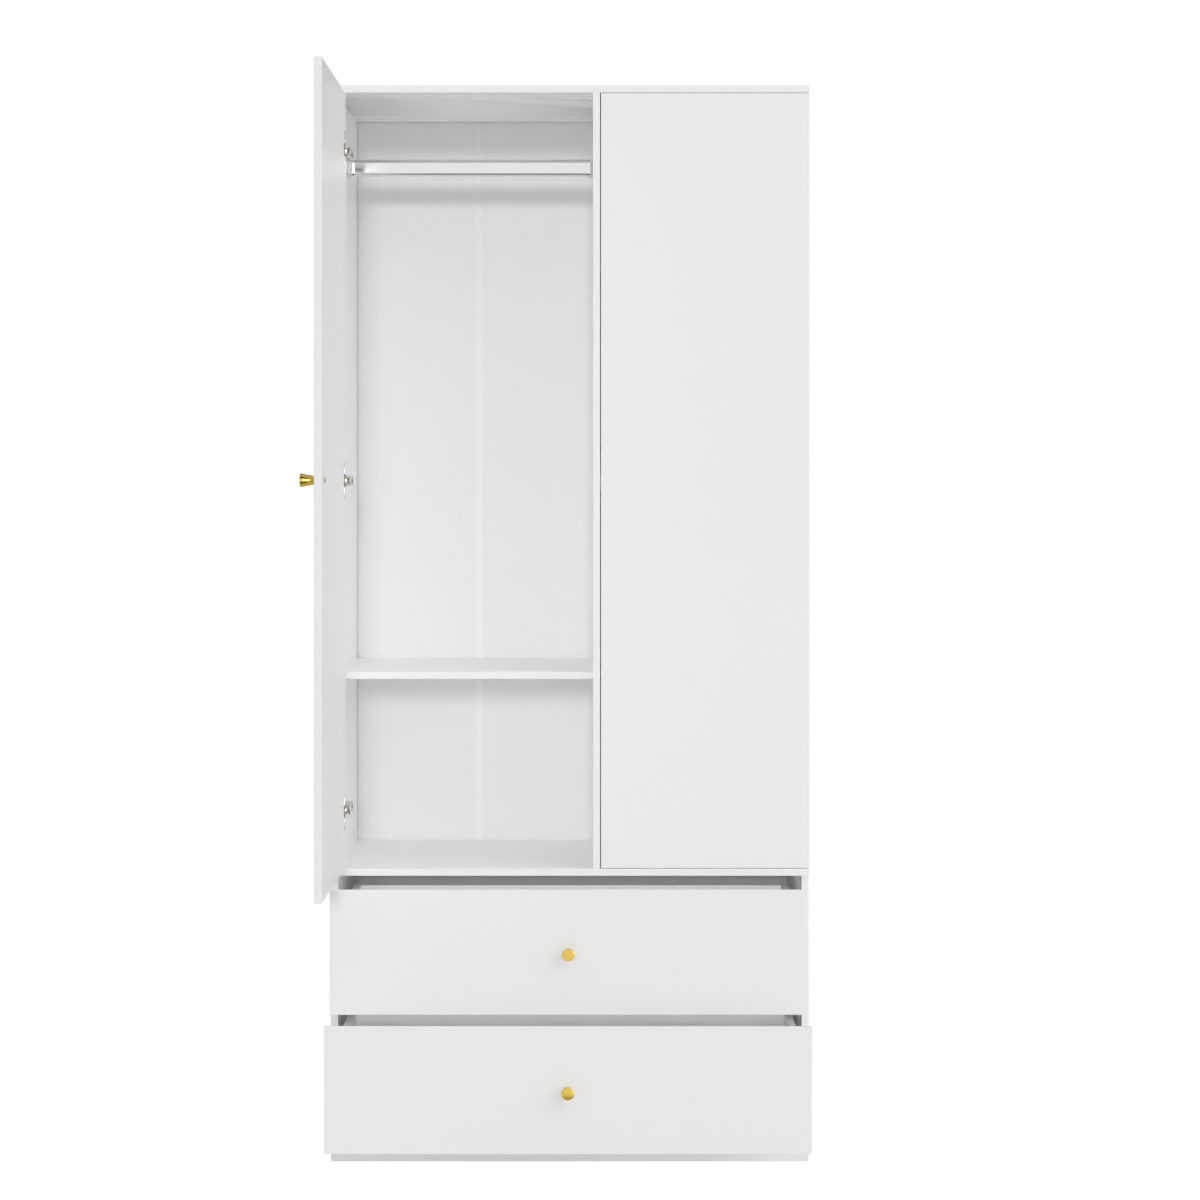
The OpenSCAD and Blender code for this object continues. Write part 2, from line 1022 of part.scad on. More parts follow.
// A pan-head screw from the board's inner face into the knob, its inner face at y = 0
module knob_screw() {
    rotate([90, 0, 0]) {
        translate([0, 0, -pan_head_h])
            cylinder(h = pan_head_h, r = pan_head_r);
        cylinder(h = board_t + knob_screw_in - knob_screw_spare, r = knob_screw_r);
    }
}

module left_door_knob() {
    color(gold)
        place_left_door()
            translate([knob_x, 0, knob_z])
                knob();
}

// Push catch for the door that has no knob, on the divider near that door's free edge
catch_w = 14;
catch_l = 60;
catch_h = 12;
catch_foot = 3;                     // foot plate: thickness, height and ends
catch_foot_h = 30;
catch_foot_in = 10;
catch_screw_dz = 11;
catch_y = 1;
catch_z = door_z + door_h / 2;
plunger_r = 3;
plunger_l = 40;
plunger_travel = 2;
plunger_gap = 0.3;
plunger_bevel = [0.8, 1.5];         // across and along its nose
plunger_bore_spare = 4;
plunger_x = div_r + catch_w / 2 + 1;

module at_catch_screws() {
    for (dz = [-catch_screw_dz, catch_screw_dz])
        translate([div_r + catch_foot, catch_y + catch_l / 2, catch_z + dz])
            rotate([0, 90, 0])
                children();
}

module push_catch_body() {
    color(white)
        difference() {
            union() {
                translate([div_r, catch_y, catch_z - catch_h / 2])
                    cube([catch_w, catch_l, catch_h]);
                translate([div_r, catch_y + catch_foot_in, catch_z - catch_foot_h / 2])
                    cube([catch_foot, catch_l - 2 * catch_foot_in, catch_foot_h]);
            }
            translate([plunger_x, catch_y - 1, catch_z])
                rotate([-90, 0, 0])
                    cylinder(
                        h = plunger_l + plunger_travel + plunger_bore_spare,
                        r = plunger_r + plunger_gap
                    );
            at_catch_screws()
                small_screw(catch_foot + 1, catch_foot / 2, play);
        }
}

module push_catch_plunger() {
    color(steel)
        translate([plunger_x, -door_back_gap + plunger_gap, catch_z])
            rotate([-90, 0, 0]) {
                cylinder(h = plunger_bevel[1], r1 = plunger_r - plunger_bevel[0], r2 = plunger_r);
                translate([0, 0, plunger_bevel[1]])
                    cylinder(h = plunger_l - plunger_bevel[1], r = plunger_r);
            }
}

// Small countersunk screws that hold the fittings to the carcass
module fitting_screws() {
    color(steel) {
        for (side = [0, 1])
            mirror([side, 0, 0]) {
                at_plate_screws()
                    translate([0, 0, foot_t])
                        small_screw(foot_t + wood_bite, thin_head);
                for (z = slide_zs, y = slide_screw_ys)
                    translate([-in_x + slide_t, slide_y + y, z])
                        rotate([0, 90, 0])
                            small_screw(slide_t + wood_bite);
                at_hinges()
                    at_arm_screw()
                        translate([0, 0, thin_head])
                            small_screw(arm_screw_l, thin_head);
            }
        at_rail_brackets()
            for (dz = [-rail_screw_dz, rail_screw_dz])
                translate([bracket_base, 0, dz])
                    rotate([0, 90, 0])
                        small_screw(bracket_base + wood_bite, bracket_base / 2);
        at_catch_screws()
            small_screw(catch_foot + wood_bite, catch_foot / 2);
    }
}

// Ball-bearing slide, in section: s runs from the side panel towards the drawer, z is up from
// its middle. Three nested channels, with a row of balls above and below each gap.
outer_reach = 10.6;
outer_lip = 18.6;
mid_s0 = 2.2;
mid_s1 = 9.2;
mid_half = 17;
mid_lip = 13;
inner_s0 = 4.6;
inner_half = 11.6;
ball_r = 1.85;
ball_s = 6.4;
ball_count = 5;
ball_pitch = 26;

// A channel with its back at s0 and its flanges reaching s1; lips turn in at the open side
module channel(s0, s1, half, lip, back_at_s1 = false) {
    back_s = back_at_s1 ? s1 - slide_t : s0;
    lip_s = back_at_s1 ? s0 : s1 - slide_t * 0.8;
    translate([back_s, -half])
        square([slide_t, 2 * half]);
    for (side = [-1, 1]) {
        translate([s0, side > 0 ? half - slide_t : -half])
            square([s1 - s0, slide_t]);
        if (lip < half)
            translate([lip_s, side > 0 ? lip : -half])
                square([slide_t * 0.8, half - lip]);
    }
}

// Extrudes a section [s, z] along +Y from y0, on the left side panel
module slide_bar(y0, z, length) {
    translate([-in_x, y0, z])
        rotate([90, 0, 0])
            translate([0, 0, -length])
                linear_extrude(length)
                    children();
}

module both_sides() {
    children();
    right_half()
        children();
}

module slide_holes(s, y0, z) {
    for (y = slide_screw_ys)
        translate([-in_x + s, y0 + y, z])
            rotate([0, 90, 0])
                cylinder(h = 2 * slide_t + 1, r = small_head_r + play, center = true);
}

module slide_cabinet_members() {
    color(steel)
        both_sides()
            for (z = slide_zs)
                difference() {
                    slide_bar(slide_y, z, slide_l)
                        channel(0, outer_reach, slide_h / 2, outer_lip);
                    slide_holes(slide_t / 2, slide_y, z);
                }
}

module middle_members(front_z, pull) {
    color(steel)
        both_sides()
            slide_bar(slide_y - pull / 2, slide_z(front_z), slide_l)
                channel(mid_s0, mid_s1, mid_half, mid_lip);
}

module drawer_members(front_z, pull) {
    color(steel)
        both_sides()
            difference() {
                slide_bar(slide_y - pull, slide_z(front_z), slide_l)
                    channel(inner_s0, slide_w, inner_half, inner_half, true);
                slide_holes(slide_w - slide_t / 2, slide_y - pull, slide_z(front_z));
            }
}

// A row of balls in their cage
module ball_row(y0) {
    row_l = (ball_count - 1) * ball_pitch;
    for (i = [0:ball_count - 1])
        translate([0, y0 + i * ball_pitch, 0])
            sphere(r = ball_r);
    translate([-1.2, y0 - 6, -0.3])
        cube([2.4, row_l + 12, 0.6]);
}

module slide_balls(front_z, pull) {
    outer_z = mid_half + ball_r;
    inner_z = mid_half - slide_t - ball_r;
    rear = slide_l * 0.55;
    front = slide_l * 0.1;
    color(chrome)
        both_sides()
            translate([-in_x + ball_s, slide_y - pull / 2, slide_z(front_z)])
                for (side = [-1, 1]) {
                    translate([0, 0, side * outer_z])
                        ball_row(rear);
                    translate([0, 0, side * inner_z])
                        ball_row(front);
                }
}

// A drawer: y = 0 at its front face, z up from the floor
box_out = in_x - slide_w;           // outer face of a drawer side
box_in = box_out - board_t;
tongue = 5;                         // how far the bottom sits in its grooves
back_y = drawer_l - board_t;
cam_r = 6;
cam_depth = 9;
cam_y = 34;
cam_dz = 40;
bolt_r = 2.5;
bolt_in = 8;
back_screw_dz = 45;

function box_z(front_z) = front_z + front_h - box_drop - box_h;

module pulled(pull) {
    translate([0, -pull, 0])
        children();
}

// Cam bolts from the front into each side
module at_cams(front_z) {
    for (dz = [-cam_dz, cam_dz])
        translate([-box_out, 0, slide_z(front_z) + dz])
            children();
}

module cam_bolt(extra = 0) {
    translate([board_t / 2, board_t - bolt_in - extra, 0])
        rotate([-90, 0, 0])
            cylinder(h = bolt_in + cam_y - board_t - cam_r + extra, r = bolt_r + extra);
}

module cam(extra = 0) {
    translate([0, cam_y, 0])
        rotate([0, 90, 0])
            cylinder(h = cam_depth + extra, r = cam_r + extra);
}

module at_back_screws(front_z) {
    for (dz = [-back_screw_dz, back_screw_dz])
        translate([-box_in, back_y + board_t / 2, slide_z(front_z) + dz])
            rotate([0, 90, 0])
                children();
}

module box_screw(extra = 0) {
    translate([0, 0, -board_t])
        cylinder(h = screw_head_h, r1 = screw_head_r + extra, r2 = screw_r + extra);
    translate([0, 0, -board_t])
        cylinder(h = screw_l, r = screw_r + extra);
}

module bottom_sheet(front_z, extra = 0) {
    translate([-box_in - tongue - extra, board_t - tongue - extra,
               box_z(front_z) + bottom_rise - extra])
        cube([2 * (box_in + tongue + extra), drawer_l - board_t + tongue + 2 * extra,
              bottom_t + 2 * extra]);
}

module drawer_front(front_z, pull) {
    color(white)
        pulled(pull)
            difference() {
                translate([-in_x + front_gap, 0, front_z])
                    cube([2 * (in_x - front_gap), board_t, front_h]);
                bottom_sheet(front_z, groove_play);
                translate([0, board_t / 2, front_z + front_h / 2])
                    rotate([90, 0, 0])
                        cylinder(h = 2 * board_t, r = knob_screw_r + play, center = true);
                both_sides()
                    at_cams(front_z)
                        cam_bolt(play);
            }
}

module drawer_side(front_z, pull) {
    color(white)
        pulled(pull)
            difference() {
                translate([-box_out, board_t, box_z(front_z)])
                    cube([board_t, drawer_l - board_t, box_h]);
                bottom_sheet(front_z, groove_play);
                at_cams(front_z) {
                    cam_bolt(play);
                    translate([-eps, 0, 0])
                        cam(play);
                }
                at_back_screws(front_z)
                    box_screw(play);
                for (y = slide_screw_ys)
                    translate([-box_out, slide_y + y, slide_z(front_z)])
                        rotate([0, 90, 0])
                            cylinder(h = 2 * (wood_bite + play), r = small_r + play, center = true);
            }
}

module drawer_back(front_z, pull) {
    bottom_top = box_z(front_z) + bottom_rise + bottom_t;
    color(white)
        pulled(pull)
            difference() {
                translate([-box_in, back_y, bottom_top])
                    cube([2 * box_in, board_t, box_z(front_z) + box_h - bottom_top]);
                both_sides()
                    at_back_screws(front_z)
                        box_screw(play);
            }
}

module drawer_bottom(front_z, pull) {
    color(white)
        pulled(pull)
            bottom_sheet(front_z);
}

module drawer_knob(front_z, pull) {
    color(gold)
        pulled(pull)
            translate([0, board_t, front_z + front_h / 2])
                knob();
}

// Cams and their bolts, box screws, slide screws and the knob's screw
module drawer_fasteners(front_z, pull) {
    color(steel)
        pulled(pull) {
            both_sides() {
                at_cams(front_z) {
                    cam_bolt();
                    cam();
                }
                at_back_screws(front_z)
                    box_screw();
                for (y = slide_screw_ys)
                    translate([-box_out - slide_t, slide_y + y, slide_z(front_z)])
                        rotate([0, -90, 0])
                            small_screw(slide_t + wood_bite);
            }
            translate([0, board_t, front_z + front_h / 2])
                knob_screw();
        }
}

left_side_panel();
right_side_panel();
top_panel();
middle_panel();
bottom_panel();
centre_divider();
plinth_front();
plinth_back();
back_panel_left();
back_panel_right();
back_joiner();
left_shelf();
right_shelves();
shelf_pins();
clothes_rail();
rail_brackets();
assembly_screws();
screw_caps();
dowels();
hinge_plates();
left_hinge_arms();
right_hinge_arms();
hinge_arm_pins();
slide_cabinet_members();
fitting_screws();
push_catch_body();
push_catch_plunger();
left_outer_links();
left_inner_links();
right_outer_links();
right_inner_links();
left_door();
left_hinge_cups();
left_cup_pins();
left_door_screws();
left_door_knob();
right_door();
right_hinge_cups();
right_cup_pins();
right_door_screws();
drawer_front(upper_z, upper_pull);  // upper_drawer_front
drawer_side(upper_z, upper_pull);  // upper_drawer_side_left
right_half() drawer_side(upper_z, upper_pull);  // upper_drawer_side_right
drawer_back(upper_z, upper_pull);  // upper_drawer_back
drawer_bottom(upper_z, upper_pull);  // upper_drawer_bottom
drawer_knob(upper_z, upper_pull);  // upper_drawer_knob
drawer_fasteners(upper_z, upper_pull);  // upper_drawer_fasteners
drawer_members(upper_z, upper_pull);  // upper_slide_drawer_members
middle_members(upper_z, upper_pull);  // upper_slide_middle_members
slide_balls(upper_z, upper_pull);  // upper_slide_balls
drawer_front(lower_z, lower_pull);  // lower_drawer_front
drawer_side(lower_z, lower_pull);  // lower_drawer_side_left
right_half() drawer_side(lower_z, lower_pull);  // lower_drawer_side_right
drawer_back(lower_z, lower_pull);  // lower_drawer_back
drawer_bottom(lower_z, lower_pull);  // lower_drawer_bottom
drawer_knob(lower_z, lower_pull);  // lower_drawer_knob
drawer_fasteners(lower_z, lower_pull);  // lower_drawer_fasteners
drawer_members(lower_z, lower_pull);  // lower_slide_drawer_members
middle_members(lower_z, lower_pull);  // lower_slide_middle_members
slide_balls(lower_z, lower_pull);  // lower_slide_balls
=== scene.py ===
import json
import math

import bmesh
import bpy
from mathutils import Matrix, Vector

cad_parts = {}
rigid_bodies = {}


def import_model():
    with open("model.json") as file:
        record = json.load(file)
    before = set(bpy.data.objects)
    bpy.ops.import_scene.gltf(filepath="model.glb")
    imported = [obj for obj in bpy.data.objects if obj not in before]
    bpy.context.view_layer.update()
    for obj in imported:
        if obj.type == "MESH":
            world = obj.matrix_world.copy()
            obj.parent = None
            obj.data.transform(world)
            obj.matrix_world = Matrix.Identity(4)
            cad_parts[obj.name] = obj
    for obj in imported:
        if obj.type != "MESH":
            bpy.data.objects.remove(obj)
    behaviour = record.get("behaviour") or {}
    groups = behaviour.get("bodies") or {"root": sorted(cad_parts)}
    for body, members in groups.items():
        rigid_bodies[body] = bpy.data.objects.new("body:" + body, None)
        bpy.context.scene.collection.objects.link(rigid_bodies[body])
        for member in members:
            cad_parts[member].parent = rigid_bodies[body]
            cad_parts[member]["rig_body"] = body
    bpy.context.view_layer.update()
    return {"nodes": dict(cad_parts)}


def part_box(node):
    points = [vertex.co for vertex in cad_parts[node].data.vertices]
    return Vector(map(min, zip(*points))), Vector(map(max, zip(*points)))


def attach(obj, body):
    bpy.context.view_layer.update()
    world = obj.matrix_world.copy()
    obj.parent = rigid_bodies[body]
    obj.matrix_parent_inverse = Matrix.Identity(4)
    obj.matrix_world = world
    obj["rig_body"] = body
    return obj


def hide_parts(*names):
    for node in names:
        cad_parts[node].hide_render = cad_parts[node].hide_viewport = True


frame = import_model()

# ---------------------------------------------------------------- studio
# The wardrobe stands on a pale floor in an evenly lit white studio. The camera is level,
# centred on the wardrobe's upper half, with its shift bringing the plinth into view.
CAMERA_PLACE = (0.0506, -5.068, 1.131)
CAMERA_SENSOR = 36
CAMERA_LENS = 90.8
CAMERA_SHIFT = -0.095
CAMERA_REACH = 60
FLOOR_RADIUS = 1.0
FLOOR_SIDES = 96
FLOOR_DROP = 0.0005         # keeps the floor's face clear of the wardrobe's underside
FLOOR_FIBRE = 0.025         # the paper's fibre, drawn far coarser than it is so as to show
FLOOR_GREY = "#a0a0a0"
FLOOR_GLOW = (0.87, 0.2)    # as it shows, and as it lights the wardrobe from below
# Softboxes: degrees above the camera and to its left, degrees across as seen, and strength
LAMPS = {
    "key_softbox": (35, -58, 60, 0.79), "front_fill": (8.5, 0, 5.5, 0.72),
    "back_softbox": (25, 140, 50, 0.9),
}
LIGHT_BOUNCES = (24, 16)    # at most in all, and off matt boards
WALL_LIGHT = 0.485          # what the white walls give a board that faces them
# What metal sees of the walls: the share of the way from front to back, and the tone there
WALL_BANDS = (
    (0.045, "#fafafa"), (0.1, "#54504a"), (0.28, "#5e5952"), (0.38, "#e4e4e4"),
    (0.62, "#e4e4e4"), (0.75, "#6e6a64"),
)
GLINT = (0.407, -0.914, 0.0)    # towards a bright strip light, seen only as a glint in metal
GLINT_EDGE = (0.955, 0.985)     # cosines of the angles where its glow starts and is full
GLINT_POWER = 4.0


def linear(hex_colour):
    """An sRGB hex colour as the linear RGBA that a shader takes."""
    parts = [int(hex_colour[i:i + 2], 16) / 255 for i in (1, 3, 5)]
    return [c / 12.92 if c <= 0.04045 else ((c + 0.055) / 1.055) ** 2.4 for c in parts] + [1.0]


def add(tree, kind, inputs=None, **settings):
    """Adds a node, makes its settings, and links or sets its inputs."""
    node = tree.nodes.new(kind)
    for name, value in settings.items():
        setattr(node, name, value)
    for name, value in (inputs or {}).items():
        if isinstance(value, bpy.types.NodeSocket):
            tree.links.new(value, node.inputs[name])
        else:
            node.inputs[name].default_value = value
    return node


def new_material(name):
    """An empty node material, its tree, and the coordinates of the piece that it covers."""
    material = bpy.data.materials.new(name)
    material.use_nodes = True
    tree = material.node_tree
    tree.nodes.clear()
    return material, tree, add(tree, "ShaderNodeTexCoord").outputs["Object"]


def finish_material(tree, inputs):
    """The principled shader that ends a material's tree."""
    shader = add(tree, "ShaderNodeBsdfPrincipled", inputs)
    add(tree, "ShaderNodeOutputMaterial", {"Surface": shader.outputs["BSDF"]})


def studio_floor():
    """Matt studio floor paper: lit so evenly that it shows white, but for soft contact shade."""
    material, tree, place = new_material("studio_floor_paper")
    fibre = add(tree, "ShaderNodeTexNoise", {"Vector": place, "Scale": 1 / FLOOR_FIBRE})
    relief = add(tree, "ShaderNodeBump", {"Height": fibre.outputs["Fac"], "Strength": 0.02})
    rays = add(tree, "ShaderNodeLightPath")
    level = add(tree, "ShaderNodeMapRange", {
        "Value": rays.outputs["Is Camera Ray"], "To Min": FLOOR_GLOW[1], "To Max": FLOOR_GLOW[0],
    })
    finish_material(tree, {
        "Base Color": linear(FLOOR_GREY), "Roughness": 0.9, "Normal": relief.outputs["Normal"],
        "Specular IOR Level": 0.1, "Emission Color": linear("#ffffff"),
        "Emission Strength": level.outputs["Result"],
    })
    return material


camera = bpy.data.objects.new("camera", bpy.data.cameras.new("camera"))
camera.location = CAMERA_PLACE
camera.rotation_euler = (math.radians(90), 0, 0)
camera.data.sensor_width = CAMERA_SENSOR
camera.data.lens = CAMERA_LENS
camera.data.shift_y = CAMERA_SHIFT
camera.data.clip_end = CAMERA_REACH
bpy.context.scene.collection.objects.link(camera)
bpy.context.scene.camera = camera
bpy.context.scene.view_settings.view_transform = "Standard"
# White boards light each other many times over before the light fades
bpy.context.scene.cycles.max_bounces, bpy.context.scene.cycles.diffuse_bounces = LIGHT_BOUNCES

floor_shape = bmesh.new()
bmesh.ops.create_circle(
    floor_shape, cap_ends=True, segments=FLOOR_SIDES, radius=FLOOR_RADIUS,
)
floor_mesh = bpy.data.meshes.new("studio_floor")
floor_shape.to_mesh(floor_mesh)
floor_shape.free()
floor_mesh.materials.append(studio_floor())
floor = bpy.data.objects.new("studio_floor", floor_mesh)
floor.location = (0, 0, -FLOOR_DROP)
bpy.context.scene.collection.objects.link(floor)

for name, (tilt, turn, spread, power) in LAMPS.items():
    softbox = bpy.data.lights.new(name, "SUN")
    softbox.angle = math.radians(spread)
    softbox.energy = power
    lamp = bpy.data.objects.new(name, softbox)
    lamp.rotation_euler = (math.radians(90 - tilt), 0, math.radians(-turn))
    lamp.visible_glossy = name == "key_softbox"
    bpy.context.scene.collection.objects.link(lamp)

# White walls. Metal sees them as light and dark bands, which show its shape, and a bright strip.
world = bpy.data.worlds.new("studio")
world.use_nodes = True
world.node_tree.nodes.clear()
bpy.context.scene.world = world
sky = world.node_tree
direction = add(sky, "ShaderNodeTexCoord")
turned = add(sky, "ShaderNodeSeparateXYZ", {"Vector": direction.outputs["Generated"]})
depth = add(sky, "ShaderNodeMapRange", {
    "Value": turned.outputs["Y"], "From Min": -1.0, "From Max": 1.0,
})
surround = add(sky, "ShaderNodeValToRGB", {"Fac": depth.outputs["Result"]})
bands = surround.color_ramp.elements
bands.remove(bands[1])
bands[0].position, bands[0].color = WALL_BANDS[0][0], linear(WALL_BANDS[0][1])
for position, colour in WALL_BANDS[1:]:
    bands.new(position).color = linear(colour)
towards = add(sky, "ShaderNodeVectorMath", {
    0: direction.outputs["Generated"], 1: GLINT,
}, operation="DOT_PRODUCT")
strip = add(sky, "ShaderNodeMapRange", {
    "Value": towards.outputs["Value"], "From Min": GLINT_EDGE[0], "From Max": GLINT_EDGE[1],
    "To Max": GLINT_POWER,
})
lit = add(sky, "ShaderNodeMixRGB", {
    "Fac": 1.0, "Color1": surround.outputs["Color"], "Color2": strip.outputs["Result"],
}, blend_type="ADD")
rays = add(sky, "ShaderNodeLightPath")
walls = add(sky, "ShaderNodeMixRGB", {
    "Fac": rays.outputs["Is Camera Ray"], "Color1": [WALL_LIGHT] * 3 + [1],
    "Color2": linear("#ffffff"),
})
seen = add(sky, "ShaderNodeMixRGB", {
    "Fac": rays.outputs["Is Glossy Ray"], "Color1": walls.outputs["Color"],
    "Color2": lit.outputs["Color"],
})
glow = add(sky, "ShaderNodeBackground", {"Color": seen.outputs["Color"], "Strength": 1.0})
add(sky, "ShaderNodeOutputWorld", {"Surface": glow.outputs["Background"]})

# ---------------------------------------------------------------- boards
# Every board is 12 mm chipboard faced with white melamine paper, cut to size, its cut edges
# covered with a thin white plastic band. Steel screws under stick-on caps and wooden dowels hold
# the boards of the carcass together.
MERGE = 1e-6            # corners nearer than this are one corner
FLAT = math.radians(1)  # faces that meet within this are one flat face
SQUARE = 0.999          # the share of a face's normal along an axis for it to face that way
ON_PLANE = 2e-5         # how near a point is to a board's outer plane to lie on it
BAND_ROUND = 0.0007     # the band's edges, as a trimming cutter leaves them
BAND_FACETS = 3
SHORT_EDGE = 0.009      # shorter edges belong to bores and grooves, and stay sharp
PEARL = 0.0022          # the paper's pressed texture, drawn coarser than its real 0.3 mm to show
CLOUD = 0.35            # slow drift of tone across a board
BUFF = 0.00385          # the buffing wheel's marks on the band, drawn coarse enough to show
CHIP = 0.0025           # chips of the core, 1 to 4 mm


def melamine_paper():
    """White melamine-faced chipboard: printed paper pressed with a fine, satin pearl texture."""
    material, tree, place = new_material("melamine_faced_chipboard")
    drift = add(tree, "ShaderNodeTexNoise", {
        "Vector": place, "Scale": 1 / CLOUD, "Detail": 2.0, "Roughness": 0.4,
    })
    tone = add(tree, "ShaderNodeMixRGB", {
        "Fac": drift.outputs["Fac"], "Color1": linear("#fbfbfb"), "Color2": linear("#fdfdfd"),
    })
    pearl = add(tree, "ShaderNodeTexNoise", {
        "Vector": place, "Scale": 1 / PEARL, "Detail": 3.0, "Roughness": 0.6,
    })
    gloss = add(tree, "ShaderNodeMapRange", {
        "Value": pearl.outputs["Fac"], "To Min": 0.38, "To Max": 0.5,
    })
    relief = add(tree, "ShaderNodeBump", {
        "Height": pearl.outputs["Fac"], "Strength": 0.12, "Distance": 0.0002,
    })
    finish_material(tree, {
        "Base Color": tone.outputs["Color"], "Roughness": gloss.outputs["Result"],
        "Normal": relief.outputs["Normal"], "IOR": 1.5, "Specular IOR Level": 0.35,
    })
    return material


def edge_band():
    """White ABS edge band, 0.6 mm thick, glued on hot and buffed: smoother than the paper."""
    material, tree, place = new_material("abs_edge_band")
    buffed = add(tree, "ShaderNodeTexNoise", {"Vector": place, "Scale": 1 / BUFF, "Detail": 2.0})
    tone = add(tree, "ShaderNodeMixRGB", {
        "Fac": buffed.outputs["Fac"], "Color1": linear("#fbfbfb"), "Color2": linear("#fdfdfd"),
    })
    gloss = add(tree, "ShaderNodeMapRange", {
        "Value": buffed.outputs["Fac"], "To Min": 0.28, "To Max": 0.36,
    })
    relief = add(tree, "ShaderNodeBump", {
        "Height": buffed.outputs["Fac"], "Strength": 0.05, "Distance": 0.0001,
    })
    finish_material(tree, {
        "Base Color": tone.outputs["Color"], "Roughness": gloss.outputs["Result"],
        "Normal": relief.outputs["Normal"], "IOR": 1.5,
    })
    return material


def chip_core():
    """Bare chipboard where a hole or groove is cut: pressed spruce chips, pale brown and rough."""
    material, tree, place = new_material("raw_chipboard_core")
    chips = add(tree, "ShaderNodeTexVoronoi", {"Vector": place, "Scale": 1 / CHIP})
    tone = add(tree, "ShaderNodeValToRGB", {"Fac": chips.outputs["Color"]})
    tone.color_ramp.elements[0].color = linear("#a98862")
    tone.color_ramp.elements[1].color = linear("#dcc29a")
    relief = add(tree, "ShaderNodeBump", {
        "Height": chips.outputs["Distance"], "Strength": 0.5, "Distance": 0.0006,
    })
    finish_material(tree, {
        "Base Color": tone.outputs["Color"], "Roughness": 0.85, "Normal": relief.outputs["Normal"],
        "Specular IOR Level": 0.2,
    })
    return material


def merged_copy(node):
    """A copy of a CAD node's mesh with its triangles joined up and its flat faces made whole."""
    shape = bmesh.new()
    shape.from_mesh(frame["nodes"][node].data)
    bmesh.ops.remove_doubles(shape, verts=shape.verts, dist=MERGE)
    bmesh.ops.dissolve_limit(shape, angle_limit=FLAT, verts=shape.verts, edges=shape.edges)
    shape.normal_update()
    return shape


def ease_edges(shape, edges, width, facets):
    """Rounds edges of a shape by a width, in so many facets."""
    bmesh.ops.bevel(
        shape, geom=edges, offset=width, offset_type="OFFSET", segments=facets, profile=0.5,
        affect="EDGES", clamp_overlap=True,
    )
    shape.normal_update()


def finish_piece(shape, name, node, materials, smooth=None):
    """Makes the shape the piece that stands for a CAD node, on its body and in its finish."""
    if isinstance(shape, bmesh.types.BMesh):
        mesh = bpy.data.meshes.new(name)
        shape.to_mesh(mesh)
        shape.free()
    else:
        mesh = shape
        mesh.name = name
    for material in materials:
        mesh.materials.append(material)
    if smooth:
        mesh.shade_smooth()
        mesh.set_sharp_from_angle(angle=math.radians(smooth))
    piece = bpy.data.objects.new(name, mesh)
    bpy.context.scene.collection.objects.link(piece)
    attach(piece, frame["nodes"][node]["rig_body"])
    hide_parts(node)


def faced_board(node, materials):
    """A board with its long edges eased, and on each face its own surface."""
    low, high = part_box(node)
    thin = min(range(3), key=lambda axis: high[axis] - low[axis])

    def planes(point, reach=ON_PLANE):
        """The outer planes of the board that a point lies on."""
        near = {(a, 0) for a in range(3) if abs(point[a] - low[a]) < reach}
        return near | {(a, 1) for a in range(3) if abs(point[a] - high[a]) < reach}

    shape = merged_copy(node)
    outer = [
        edge for edge in shape.edges
        if edge.calc_length() > SHORT_EDGE
        and len(planes(edge.verts[0].co) & planes(edge.verts[1].co)) >= 2
    ]
    ease_edges(shape, outer, BAND_ROUND, BAND_FACETS)
    for face in shape.faces:
        middle = face.calc_center_median()
        square = max(range(3), key=lambda axis: abs(face.normal[axis]))
        touches = planes(middle)
        if abs(face.normal[square]) < SQUARE:
            face.material_index = 1 if len(planes(middle, BAND_ROUND)) >= 2 else 2
        elif any(axis == square for axis, _ in touches):
            face.material_index = 0 if square == thin else 1
        else:
            face.material_index = 2
    finish_piece(shape, node + "_board", node, materials)


board_finish = [melamine_paper(), edge_band(), chip_core()]
for node in (
    "left_side_panel", "right_side_panel", "top_panel", "middle_panel", "bottom_panel",
    "centre_divider", "plinth_front", "plinth_back", "left_shelf",
):
    faced_board(node, board_finish)

# ---------------------------------------------------------------- back panels
# Two sheets of 3 mm hardboard, lacquered white on the room side and bare brown fibre behind. They
# slide into grooves in the sides and top and meet in an extruded plastic joining strip.
PEEL = 0.004            # the rolled lacquer's orange peel
SHEET_CLOUD = 0.4       # slow drift of tone across a sheet
HARD_FIBRE = 0.0016     # felted fibre clumps
MOTTLE = 0.06           # darker and lighter patches of the mat
WIRE_WAVE = 90.0        # gives the press wire's print a pitch of 5 mm, coarse enough to show
FLOW_MARK = 0.00286     # faint flow marks in the plastic
FLANGE_ROUND = 0.0003
SOFT_FACETS = 2
SHARP_CORNER = 35       # degrees: an edge that turns more than this is softened
SMOOTH = 30             # degrees: faces that meet at less than this shade as one


def lacquered_hardboard():
    """White lacquered hardboard: rolled lacquer on felted fibre, with a faint orange peel."""
    material, tree, place = new_material("lacquered_hardboard")
    peel = add(tree, "ShaderNodeTexNoise", {"Vector": place, "Scale": 1 / PEEL, "Detail": 2.0})
    drift = add(tree, "ShaderNodeTexNoise", {"Vector": place, "Scale": 1 / SHEET_CLOUD})
    tone = add(tree, "ShaderNodeMixRGB", {
        "Fac": drift.outputs["Fac"], "Color1": linear("#f3f3f3"), "Color2": linear("#f6f6f6"),
    })
    relief = add(tree, "ShaderNodeBump", {
        "Height": peel.outputs["Fac"], "Strength": 0.1, "Distance": 0.0002,
    })
    finish_material(tree, {
        "Base Color": tone.outputs["Color"], "Roughness": 0.5, "Normal": relief.outputs["Normal"],
        "Specular IOR Level": 0.3,
    })
    return material


